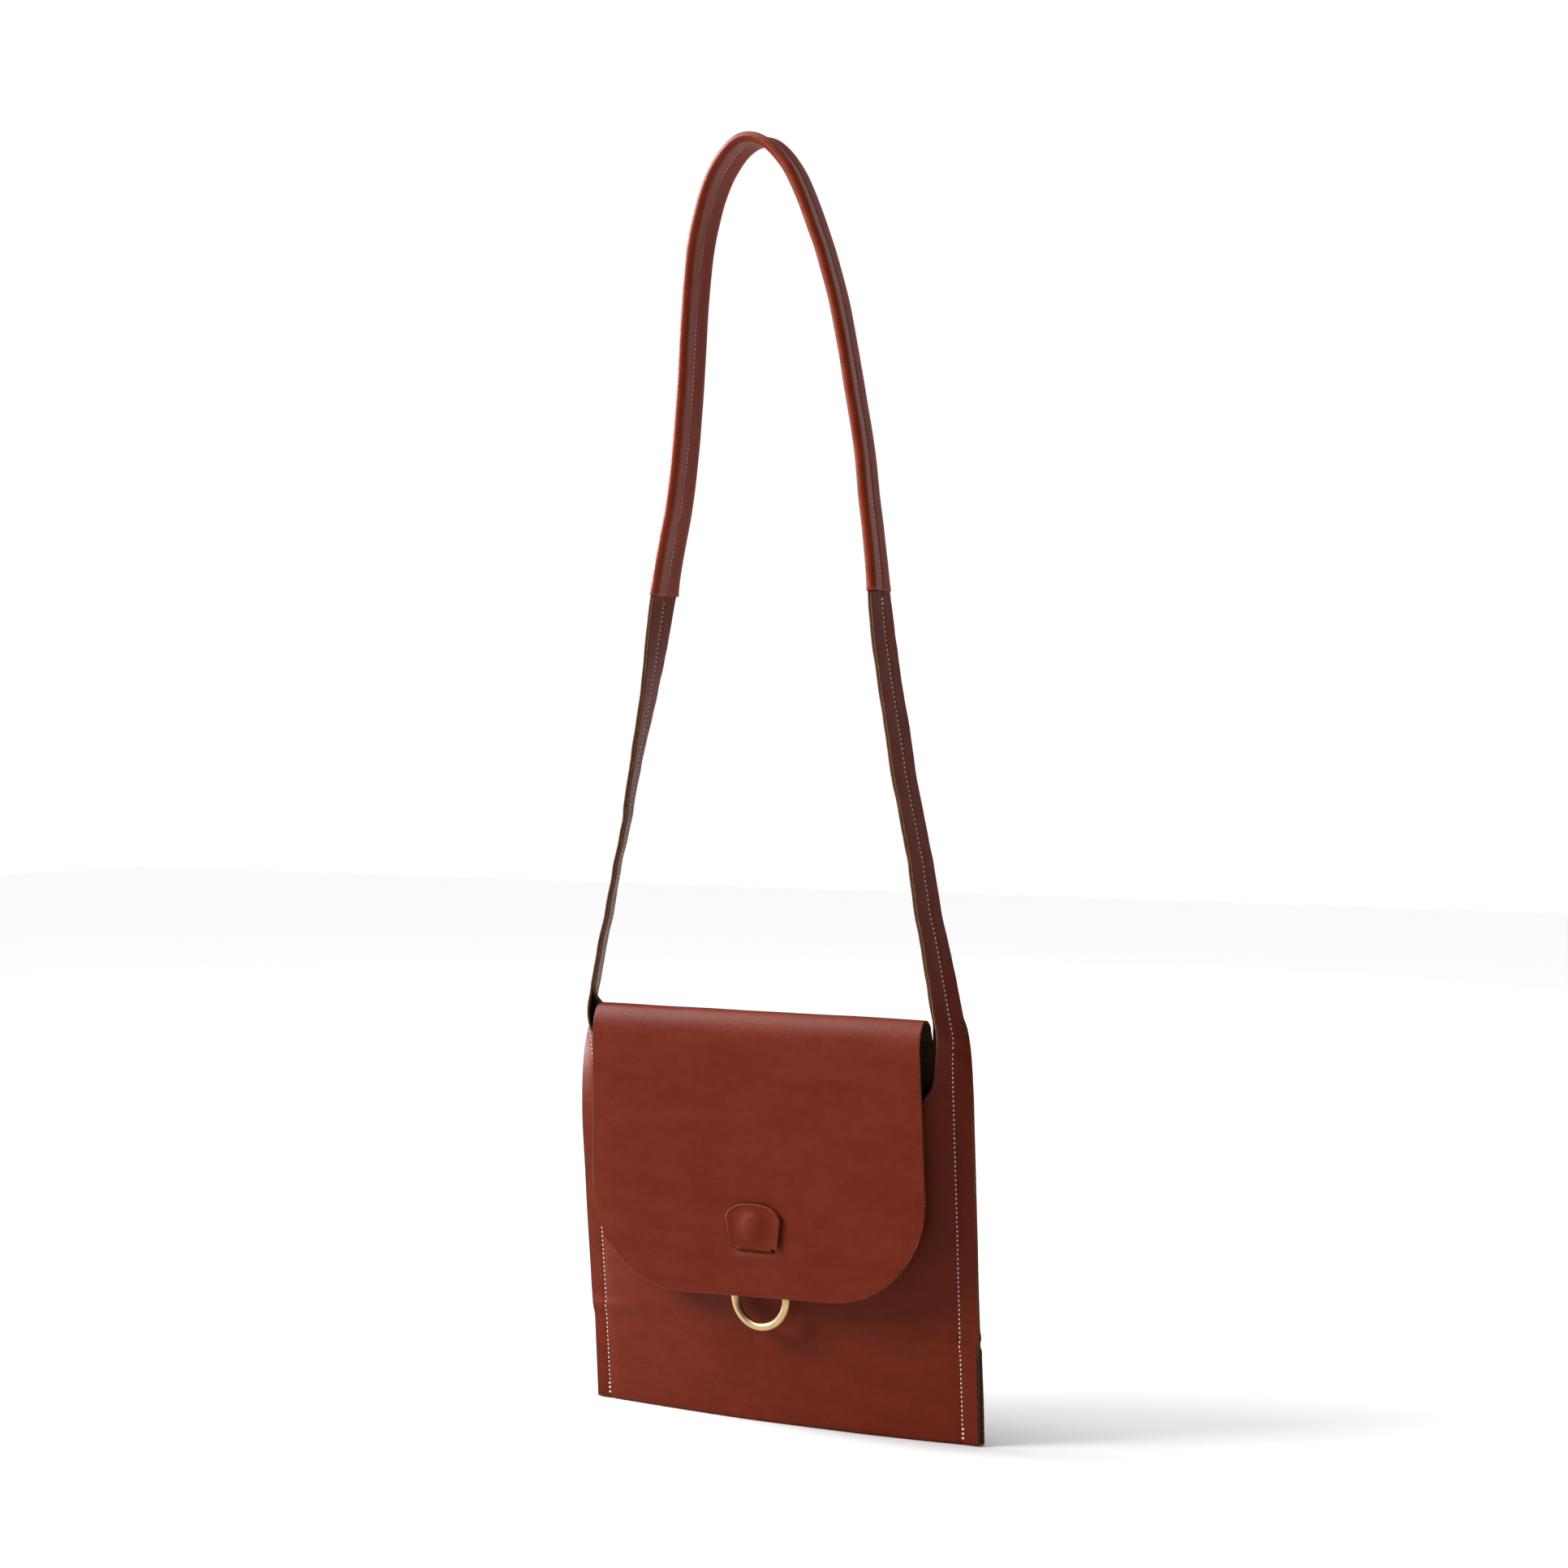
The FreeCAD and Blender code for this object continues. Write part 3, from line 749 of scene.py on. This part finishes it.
def makeRing():
    vertices, faces = [], []
    around, ring = ringShape["around"], ringShape["section"]
    for i in range(around):
        angle = 2 * math.pi * i / around
        dip = ringShape["jointDip"] * bump(math.degrees(angle), ringShape["jointAt"], ringShape["jointWidth"])
        wire = ringShape["wire"] * (1 - dip)
        for j in range(ring):
            spin = 2 * math.pi * j / ring
            reach = ringShape["radius"] + wire * math.cos(spin)
            vertices.append(Vector((ringShape["x"] + reach * math.cos(angle),
                                    bag["ringY"] + wire * math.sin(spin),
                                    ringShape["z"] + reach * math.sin(angle))))
    for i in range(around):
        for j in range(ring):
            a, b = i * ring + j, i * ring + (j + 1) % ring
            c, d = ((i + 1) % around) * ring + (j + 1) % ring, ((i + 1) % around) * ring + j
            faces.append([a, b, c, d])
    return makeMesh("pull_ring_brass", vertices, faces)


pullRing = makeRing()

# patch behind the magnet, inside the front panel
patchLow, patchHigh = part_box("snap_patch")
patchShape = {"cells": 14, "pinch": 0.09, "puff": 0.25}


def makePatch():
    low = (patchLow - place(0, 0, 0)) / mm
    high = (patchHigh - place(0, 0, 0)) / mm
    cx, cz = (low.x + high.x) / 2, (low.z + high.z) / 2
    half = (high.x - low.x) / 2
    grid = []
    for j in range(patchShape["cells"] + 1):
        row = []
        v = math.sin(math.pi / 2 * (2 * j / patchShape["cells"] - 1))
        for i in range(patchShape["cells"] + 1):
            u = -math.sin(math.pi / 2 * (2 * i / patchShape["cells"] - 1))
            reach = half * (1 - patchShape["pinch"] * (u * u * v * v))
            puff = patchShape["puff"] * (1 - u ** 4) * (1 - v ** 4)
            row.append(Vector((cx + u * reach, high.y + puff, cz + v * reach)))
        grid.append(row)
    return makeSheet("snap_patch_suede", grid, high.y - low.y, chamfer=0.25)


snapPatch = makePatch()
print("tab, ring and patch made")

# thread: every stitch is a short raised lens that dips in at both ends
stitchShape = {
    "pitch": 2.8, "length": 1.7, "half": 0.31, "rise": 0.4, "slant": 0.12, "sink": 0.16,
    "sideLow": 2.4, "sideHigh": 238.8, "legMiddle": 378.8, "legHigh": 510.4, "sleeveEnd": 1.2,
}


def addStitch(vertices, faces, middle, along, across, outward, length, slant):
    start = len(vertices)
    steps, ring = 6, 6
    run = (along + across * slant).normalized()
    wide = outward.cross(run).normalized()
    for i in range(steps + 1):
        t = i / steps * 2 - 1
        r = stitchShape["half"] * (1 - abs(t) ** 3.2) + 0.04
        lift = stitchShape["rise"] * (1 - t * t) - stitchShape["sink"]
        core = middle + run * (t * length / 2) + outward * lift
        for j in range(ring):
            spin = 2 * math.pi * j / ring
            vertices.append(core + wide * (r * 1.15 * math.cos(spin))
                            + outward * (r * 0.8 * math.sin(spin)))
    for i in range(steps):
        for j in range(ring):
            k = (j + 1) % ring
            a = start + i * ring
            faces.append([a + j, a + k, a + ring + k, a + ring + j])
    faces.append([start + j for j in reversed(range(ring))])
    faces.append([start + steps * ring + j for j in range(ring)])


def stitchRun(name, lines):
    vertices, faces = [], []
    for spotAt, sign, low, high, doubled in lines:
        count = int((high - low) / stitchShape["pitch"])
        for i in range(count):
            v = low + (i + 0.5) * stitchShape["pitch"]
            here, ahead, back = spotAt(0, v), spotAt(0, v + 0.8), spotAt(0, v - 0.8)
            along = (ahead - back).normalized()
            across = (spotAt(1.8, v) - spotAt(-1.8, v)).normalized()
            outward = (across.cross(along) * sign).normalized()
            jitter = 0.12 * noise.noise(Vector((v * 0.9, sign, 4.4)))
            addStitch(vertices, faces, here + across * jitter, along, across, outward,
                      stitchShape["length"] * (1 + 0.5 * jitter), stitchShape["slant"])
            if i in doubled or i - count in doubled:
                addStitch(vertices, faces, here + across * 0.75 + outward * 0.08, along, across,
                          outward, stitchShape["length"], -0.12)
    return makeMesh(name, vertices, faces)


def sleeveFace(sign):
    def spotAt(a, run):
        centre, across, inward = sleeveFrame(min(sleeveLength, max(0.0, run)))[:3]
        return centre + across * a + inward * (sign * faceHeight(0))
    return spotAt


def sideLine(maker, side):
    return lambda s, z: maker(side, s, z)


def plyLine(side, offset):
    return lambda s, z: legSpot(side, s, z, offset)


# each line: where it runs, which way is out, its two ends, and the stitches sewn twice
threads = {}
sideLow, sideHigh = stitchShape["sideLow"], stitchShape["sideHigh"]
legMiddle, legHigh = stitchShape["legMiddle"], stitchShape["legHigh"]
for side, word in ((-1, "left"), (1, "right")):
    front, back = sideLine(frontSpot, side), sideLine(backSpot, side)
    threads["side_" + word] = stitchRun("side_stitches_" + word, [
        (front, side, sideLow, sideHigh, (0, 1, 2)), (back, -side, sideLow, sideHigh, (0, 1, 2))])
    threads["low_" + word] = stitchRun("leg_stitches_low_" + word, [
        (front, side, sideHigh, legMiddle, ()), (back, -side, sideHigh, legMiddle, ())])
    threads["high_" + word] = stitchRun("leg_stitches_high_" + word, [
        (plyLine(side, -bag["ply"]), side, legMiddle, legHigh, (-1, -2)),
        (plyLine(side, bag["ply"]), -side, legMiddle, legHigh, ())])
sleeveEnds = (stitchShape["sleeveEnd"], sleeveLength - stitchShape["sleeveEnd"], (0, 1, 2, -1, -2, -3))
threads["sleeve"] = stitchRun("sleeve_stitches", [
    (sleeveFace(-1), 1, *sleeveEnds), (sleeveFace(1), -1, *sleeveEnds)])
print("stitches made")


# shader groups
def newGroup(name, inputs, outputs):
    group = bpy.data.node_groups.new(name, "ShaderNodeTree")
    for label, kind, value in inputs:
        socket = group.interface.new_socket(name=label, in_out="INPUT", socket_type=kind)
        socket.default_value = value
    for label, kind in outputs:
        group.interface.new_socket(name=label, in_out="OUTPUT", socket_type=kind)
    return group, group.nodes.new("NodeGroupInput"), group.nodes.new("NodeGroupOutput")


def addNode(tree, kind, settings=None, **inputs):
    # an input is given by its name, or as i and its number
    node = tree.nodes.new(kind)
    for key, value in (settings or {}).items():
        setattr(node, key, value)
    for key, value in inputs.items():
        socket = node.inputs[int(key[1:])] if key[0] == "i" and key[1:].isdigit() else node.inputs[key]
        if isinstance(value, bpy.types.NodeSocket):
            tree.links.new(value, socket)
        else:
            socket.default_value = value
    return node


def mathNode(tree, operation, a, b):
    return addNode(tree, "ShaderNodeMath", {"operation": operation}, i0=a, i1=b).outputs[0]


def ramp(tree, value, low, high, outLow=0.0, outHigh=1.0):
    node = addNode(tree, "ShaderNodeMapRange", {"interpolation_type": "SMOOTHSTEP"},
                   i0=value, i1=low, i2=high, i3=outLow, i4=outHigh)
    return node.outputs[0]


def mixColour(tree, share, a, b):
    return addNode(tree, "ShaderNodeMix", {"data_type": "RGBA"}, i0=share, i6=a, i7=b).outputs[2]


def linear(red, green, blue):
    # a colour given in 0 to 255, as the shaders want it
    def one(v):
        v /= 255
        return v / 12.92 if v <= 0.04045 else ((v + 0.055) / 1.055) ** 2.4
    return (one(red), one(green), one(blue), 1.0)


def grainGroup():
    tree, given, out = newGroup("hideGrain", [
        ("Position", "NodeSocketVector", (0, 0, 0)), ("Grain Scale", "NodeSocketFloat", 1.0)],
        [("Height", "NodeSocketFloat"), ("Mottle", "NodeSocketFloat"), ("Pores", "NodeSocketFloat"),
         ("Scuffs", "NodeSocketFloat")])
    spot, size = given.outputs[0], given.outputs[1]
    cells = addNode(tree, "ShaderNodeTexVoronoi", {"feature": "DISTANCE_TO_EDGE"},
                    Vector=spot, Scale=mathNode(tree, "MULTIPLY", size, 900.0))
    broad = addNode(tree, "ShaderNodeTexVoronoi", {"feature": "SMOOTH_F1"},
                    Vector=spot, Scale=mathNode(tree, "MULTIPLY", size, 430.0))
    fine = addNode(tree, "ShaderNodeTexNoise", None, Vector=spot,
                   Scale=mathNode(tree, "MULTIPLY", size, 1500.0), Detail=3.0)
    drawn = addNode(tree, "ShaderNodeMapping", None, Vector=spot, Scale=(0.45, 1.0, 1.5)).outputs[0]
    cloud = addNode(tree, "ShaderNodeTexNoise", None, Vector=drawn,
                    Scale=mathNode(tree, "MULTIPLY", size, 60.0), Detail=7.0, Roughness=0.62)
    patches = addNode(tree, "ShaderNodeTexNoise", None, Vector=spot,
                      Scale=mathNode(tree, "MULTIPLY", size, 110.0), Detail=4.0, Roughness=0.65)
    marks = addNode(tree, "ShaderNodeTexNoise", None, Vector=spot,
                    Scale=mathNode(tree, "MULTIPLY", size, 60.0), Detail=6.0, Roughness=0.8, Distortion=1.4)
    valley = ramp(tree, cells.outputs["Distance"], 0.0, 0.16)
    height = mathNode(tree, "MULTIPLY", valley, 0.5)
    height = mathNode(tree, "ADD", height, mathNode(tree, "MULTIPLY", broad.outputs["Distance"], 0.5))
    height = mathNode(tree, "ADD", height, mathNode(tree, "MULTIPLY", fine.outputs["Fac"], 0.3))
    height = mathNode(tree, "ADD", height, mathNode(tree, "MULTIPLY", patches.outputs["Fac"], 0.8))
    tree.links.new(height, out.inputs["Height"])
    tree.links.new(mathNode(tree, "ADD", mathNode(tree, "MULTIPLY", cloud.outputs["Fac"], 0.65),
                            mathNode(tree, "MULTIPLY", patches.outputs["Fac"], 0.35)), out.inputs["Mottle"])
    tree.links.new(ramp(tree, cells.outputs["Distance"], 0.09, 0.0), out.inputs["Pores"])
    tree.links.new(ramp(tree, marks.outputs["Fac"], 0.62, 0.76), out.inputs["Scuffs"])
    return tree


def fibreGroup():
    tree, given, out = newGroup("looseFibre", [
        ("Position", "NodeSocketVector", (0, 0, 0)), ("Fibre Scale", "NodeSocketFloat", 1.0)],
        [("Height", "NodeSocketFloat"), ("Streaks", "NodeSocketFloat")])
    spot, size = given.outputs[0], given.outputs[1]
    strands = addNode(tree, "ShaderNodeTexNoise", None, Vector=spot,
                      Scale=mathNode(tree, "MULTIPLY", size, 900.0),
                      Detail=4.0, Roughness=0.7, Distortion=0.8)
    tufts = addNode(tree, "ShaderNodeTexNoise", None, Vector=spot,
                    Scale=mathNode(tree, "MULTIPLY", size, 220.0), Detail=3.0)
    tree.links.new(mathNode(tree, "ADD", strands.outputs["Fac"],
                            mathNode(tree, "MULTIPLY", tufts.outputs["Fac"], 0.5)), out.inputs["Height"])
    tree.links.new(ramp(tree, strands.outputs["Fac"], 0.35, 0.65), out.inputs["Streaks"])
    return tree


def metalGroup():
    tree, given, out = newGroup("rubbedMetal", [
        ("Position", "NodeSocketVector", (0, 0, 0)), ("Mark Scale", "NodeSocketFloat", 1.0)],
        [("Height", "NodeSocketFloat"), ("Tarnish", "NodeSocketFloat")])
    spot, size = given.outputs[0], given.outputs[1]
    lines = addNode(tree, "ShaderNodeTexNoise", None, Vector=spot,
                    Scale=mathNode(tree, "MULTIPLY", size, 1100.0), Detail=2.0, Distortion=2.0)
    cloud = addNode(tree, "ShaderNodeTexNoise", None, Vector=spot,
                    Scale=mathNode(tree, "MULTIPLY", size, 160.0), Detail=4.0)
    tree.links.new(lines.outputs["Fac"], out.inputs["Height"])
    tree.links.new(ramp(tree, cloud.outputs["Fac"], 0.4, 0.7), out.inputs["Tarnish"])
    return tree


grainNodes, fibreNodes, metalNodes = grainGroup(), fibreGroup(), metalGroup()


def startMaterial(name, finish, group, scaleName, scale):
    material = bpy.data.materials.new(name)
    material.use_nodes = True
    tree = material.node_tree
    shader = tree.nodes["Principled BSDF"]
    coordinates = addNode(tree, "ShaderNodeTexCoord")
    effect = tree.nodes.new("ShaderNodeGroup")
    effect.node_tree = group
    tree.links.new(coordinates.outputs["Object"], effect.inputs["Position"])
    effect.inputs[scaleName].default_value = scale
    for key, value in finish.items():
        shader.inputs[key].default_value = value
    return material, tree, shader, effect


def setBump(tree, shader, height, strength, distance):
    node = addNode(tree, "ShaderNodeBump", None, Strength=strength, Distance=distance, Height=height)
    tree.links.new(node.outputs[0], shader.inputs["Normal"])


def leatherMaterial(name, dark, light, worn, roughLow, roughHigh, wear=0.6, finish=None):
    material, tree, shader, effect = startMaterial(
        name, finish or {}, grainNodes, "Grain Scale", 1.0)
    mottle = ramp(tree, effect.outputs["Mottle"], 0.38, 0.62)
    colour = mixColour(tree, mottle, dark, light)
    colour = mixColour(tree, mathNode(tree, "MULTIPLY", effect.outputs["Pores"], 0.35), colour,
                       (dark[0] * 0.45, dark[1] * 0.4, dark[2] * 0.4, 1))
    edge = addNode(tree, "ShaderNodeAttribute", {"attribute_name": "edgeMask"})
    rubbed = mathNode(tree, "MULTIPLY", edge.outputs["Fac"],
                      ramp(tree, effect.outputs["Mottle"], 0.3, 0.6, 0.35, 1.0))
    colour = mixColour(tree, mathNode(tree, "MULTIPLY", rubbed, wear), colour, worn)
    colour = mixColour(tree, mathNode(tree, "MULTIPLY", effect.outputs["Scuffs"], 0.22), colour, worn)
    tree.links.new(colour, shader.inputs["Base Color"])
    rough = ramp(tree, effect.outputs["Mottle"], 0.3, 0.7, roughLow, roughHigh)
    rough = mathNode(tree, "ADD", rough, mathNode(tree, "MULTIPLY", effect.outputs["Scuffs"], 0.08))
    tree.links.new(rough, shader.inputs["Roughness"])
    setBump(tree, shader, effect.outputs["Height"], 0.32, 0.00022)
    return material


def fibreMaterial(name, dark, light, rough, scale, finish=None):
    material, tree, shader, effect = startMaterial(
        name, finish or {}, fibreNodes, "Fibre Scale", scale)
    streaks = effect.outputs["Streaks"]
    tree.links.new(mixColour(tree, streaks, dark, light), shader.inputs["Base Color"])
    tree.links.new(ramp(tree, streaks, 0, 1, rough, rough - 0.1), shader.inputs["Roughness"])
    setBump(tree, shader, effect.outputs["Height"], 0.6, 0.0004)
    return material


def metalMaterial(name, base, tarnished, roughLow, roughHigh):
    material, tree, shader, effect = startMaterial(
        name, {"Metallic": 1.0}, metalNodes, "Mark Scale", 1.0)
    tarnish = effect.outputs["Tarnish"]
    tree.links.new(mixColour(tree, tarnish, base, tarnished), shader.inputs["Base Color"])
    tree.links.new(ramp(tree, tarnish, 0, 1, roughLow, roughHigh), shader.inputs["Roughness"])
    setBump(tree, shader, effect.outputs["Height"], 0.05, 0.00003)
    return material


hide = leatherMaterial("russet leather", linear(101, 31, 10), linear(109, 36, 13), linear(132, 62, 34),
                       0.36, 0.44, finish={"Specular IOR Level": 0.13})
# painted highlight: the sleeve's leather is given a lighter colour than the body's leather, standing in for
# the light on its rolled edges
sleeveHidePaintedLighter = leatherMaterial("sleeve leather painted lighter", linear(124, 42, 15), linear(134, 48, 18), linear(160, 84, 50),
                             0.32, 0.4, wear=0.4, finish={"Specular IOR Level": 0.22})
flesh = fibreMaterial("flesh side", linear(58, 34, 22), linear(88, 56, 38), 0.92, 1.0,
                      finish={"Specular IOR Level": 0.2})
# partly painted shade: the raw edge's own brown is darkened to stand in for the shadow line along the flap's
# edges
cutEdgeWithShade = fibreMaterial("cut edge with painted shade", linear(62, 36, 24), linear(124, 80, 54), 0.85, 1.6,
                        finish={"Specular IOR Level": 0.2})
suede = fibreMaterial("suede lining", linear(64, 42, 28), linear(96, 68, 48), 0.95, 1.3)
thread = fibreMaterial("cream thread", linear(232, 222, 206), linear(255, 250, 240), 0.6, 2.2,
                       finish={"Sheen Weight": 0.2})
brass = metalMaterial("satin brass", linear(226, 194, 146), linear(218, 184, 134), 0.31, 0.38)
steel = metalMaterial("nickel steel", linear(206, 204, 200), linear(168, 166, 162), 0.2, 0.36)
print("materials made")


def dress(piece, *materials):
    for material in materials:
        piece.data.materials.append(material)


for piece in [frontPanel, backPanel, bottomPleat, flapSheet, pullTab] + list(legPlies.values()):
    dress(piece, hide, flesh, cutEdgeWithShade)
dress(sleevePiece, sleeveHidePaintedLighter, flesh, cutEdgeWithShade)
dress(snapPatch, suede, suede, cutEdgeWithShade)
dress(pullRing, brass)
for piece in threads.values():
    dress(piece, thread)
for node in ("snap_stud", "snap_stud_washer", "snap_magnet", "snap_magnet_washer"):
    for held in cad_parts[node].material_slots:
        held.material = steel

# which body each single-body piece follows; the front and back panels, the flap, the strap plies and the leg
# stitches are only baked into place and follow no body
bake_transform(frontPanel)
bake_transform(backPanel)
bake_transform(flapSheet)
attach(bottomPleat, "bag")
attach(snapPatch, "bag")
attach(pullTab, "flap")
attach(pullRing, "ring")
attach(sleevePiece, "strap_top")
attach(threads["sleeve"], "strap_top")
for word in ("left", "right"):
    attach(threads["side_" + word], "bag")
    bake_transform(threads["low_" + word])
    for piece in (threads["high_" + word], legPlies["front_" + word], legPlies["back_" + word]):
        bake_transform(piece)
    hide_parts("side_thread_" + word)
    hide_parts("leg_thread_" + word)
    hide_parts("leg_front_ply_" + word)
    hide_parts("leg_back_ply_" + word)
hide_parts("front_panel")
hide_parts("back_panel")
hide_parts("bottom_pleat")
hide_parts("flap")
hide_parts("pull_tab")
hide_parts("pull_ring")
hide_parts("snap_patch")
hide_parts("strap_sleeve", "strap_core_outer", "strap_core_inner")
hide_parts("sleeve_thread")

# floor, light and camera
studio = {
    "cameraAt": (930.0, -1610.8, 436.6), "turn": 30.0, "pan": 0.00121, "pitch": -0.02284,
    "lens": 69.33, "sensor": 36.0,
    "floorHalf": 5.0, "floorDrop": 0.0004,
    "floorSeen": (0.7, 0.7, 0.7, 1), "floorLit": (0.5, 0.49, 0.48, 1),
    "sky": 1.0, "fill": 0.16,
    # name, direction of the light, its spread in degrees, strength
    "suns": [("key", (-0.85, -0.66, 0.66), 22, 3.3), ("top", (-0.25, -0.1, 1.0), 50, 1.75),
             ("left strip", (-1.0, 0.06, 0.12), 16, 3.6)],
    # name, place from the bag's middle in metres, size, power
    "lamps": [("backdrop glow", (0.9, 2.6, 0.4), 3.4, 14), ("window", (-1.5, -0.35, 1.3), 0.7, 34)],
}


def makeFloor():
    half = studio["floorHalf"]
    mesh = bpy.data.meshes.new("studio_floor")
    z = originZ - studio["floorDrop"]
    corners = [(-half, -half, z), (half, -half, z), (half, half, z), (-half, half, z)]
    mesh.from_pydata(corners, [], [(0, 1, 2, 3)])
    floor = bpy.data.objects.new("studio_floor", mesh)
    bpy.context.scene.collection.objects.link(floor)
    paper = bpy.data.materials.new("floor paper")
    paper.use_nodes = True
    shader = paper.node_tree.nodes["Principled BSDF"]
    shader.inputs["Roughness"].default_value = 0.9
    shader.inputs["Specular IOR Level"].default_value = 0.1
    path = addNode(paper.node_tree, "ShaderNodeLightPath")
    shade = mixColour(paper.node_tree, path.outputs["Is Camera Ray"],
                      studio["floorLit"], studio["floorSeen"])
    paper.node_tree.links.new(shade, shader.inputs["Base Color"])
    mesh.materials.append(paper)


def addArea(name, at, aim, size, power):
    light = bpy.data.lights.new(name, "AREA")
    light.shape = "SQUARE"
    light.size = size
    light.energy = power
    lamp = bpy.data.objects.new(name, light)
    lamp.location = at
    lamp.rotation_euler = (Vector(aim) - Vector(at)).to_track_quat("-Z", "Y").to_euler()
    lamp.visible_camera = False
    bpy.context.scene.collection.objects.link(lamp)


def addSun(name, towards, spread, power):
    light = bpy.data.lights.new(name, "SUN")
    light.angle = math.radians(spread)
    light.energy = power
    lamp = bpy.data.objects.new(name, light)
    lamp.rotation_euler = Vector(towards).to_track_quat("Z", "Y").to_euler()
    bpy.context.scene.collection.objects.link(lamp)


def makeWorld():
    world = bpy.data.worlds.new("studio")
    bpy.context.scene.world = world
    world.use_nodes = True
    tree = world.node_tree
    tree.nodes.clear()
    path = addNode(tree, "ShaderNodeLightPath")
    seen = addNode(tree, "ShaderNodeBackground", None, Color=(1, 1, 1, 1), Strength=studio["sky"])
    lit = addNode(tree, "ShaderNodeBackground", None, Color=(1, 1, 1, 1), Strength=studio["fill"])
    both = addNode(tree, "ShaderNodeMixShader", None, i0=path.outputs["Is Camera Ray"],
                   i1=lit.outputs[0], i2=seen.outputs[0])
    end = addNode(tree, "ShaderNodeOutputWorld")
    tree.links.new(both.outputs[0], end.inputs["Surface"])


makeFloor()
makeWorld()
middle = place(0, -10, 300)
for name, towards, spread, power in studio["suns"]:
    addSun(name, towards, spread, power)
for name, away, size, power in studio["lamps"]:
    addArea(name, middle + Vector(away), middle, size, power)

camera = bpy.data.cameras.new("camera")
camera.lens = studio["lens"]
camera.sensor_width = studio["sensor"]
camera.clip_end = 200
viewer = bpy.data.objects.new("camera", camera)
turn = math.radians(studio["turn"])
forward = Vector((-math.sin(turn), math.cos(turn), studio["pitch"]))
forward += studio["pan"] * Vector((math.cos(turn), math.sin(turn), 0))
viewer.location = place(*studio["cameraAt"])
viewer.rotation_euler = forward.to_track_quat("-Z", "Y").to_euler()
bpy.context.scene.collection.objects.link(viewer)
bpy.context.scene.camera = viewer
bpy.context.scene.view_settings.view_transform = "Standard"
bpy.context.scene.view_settings.look = "None"
print("studio made")
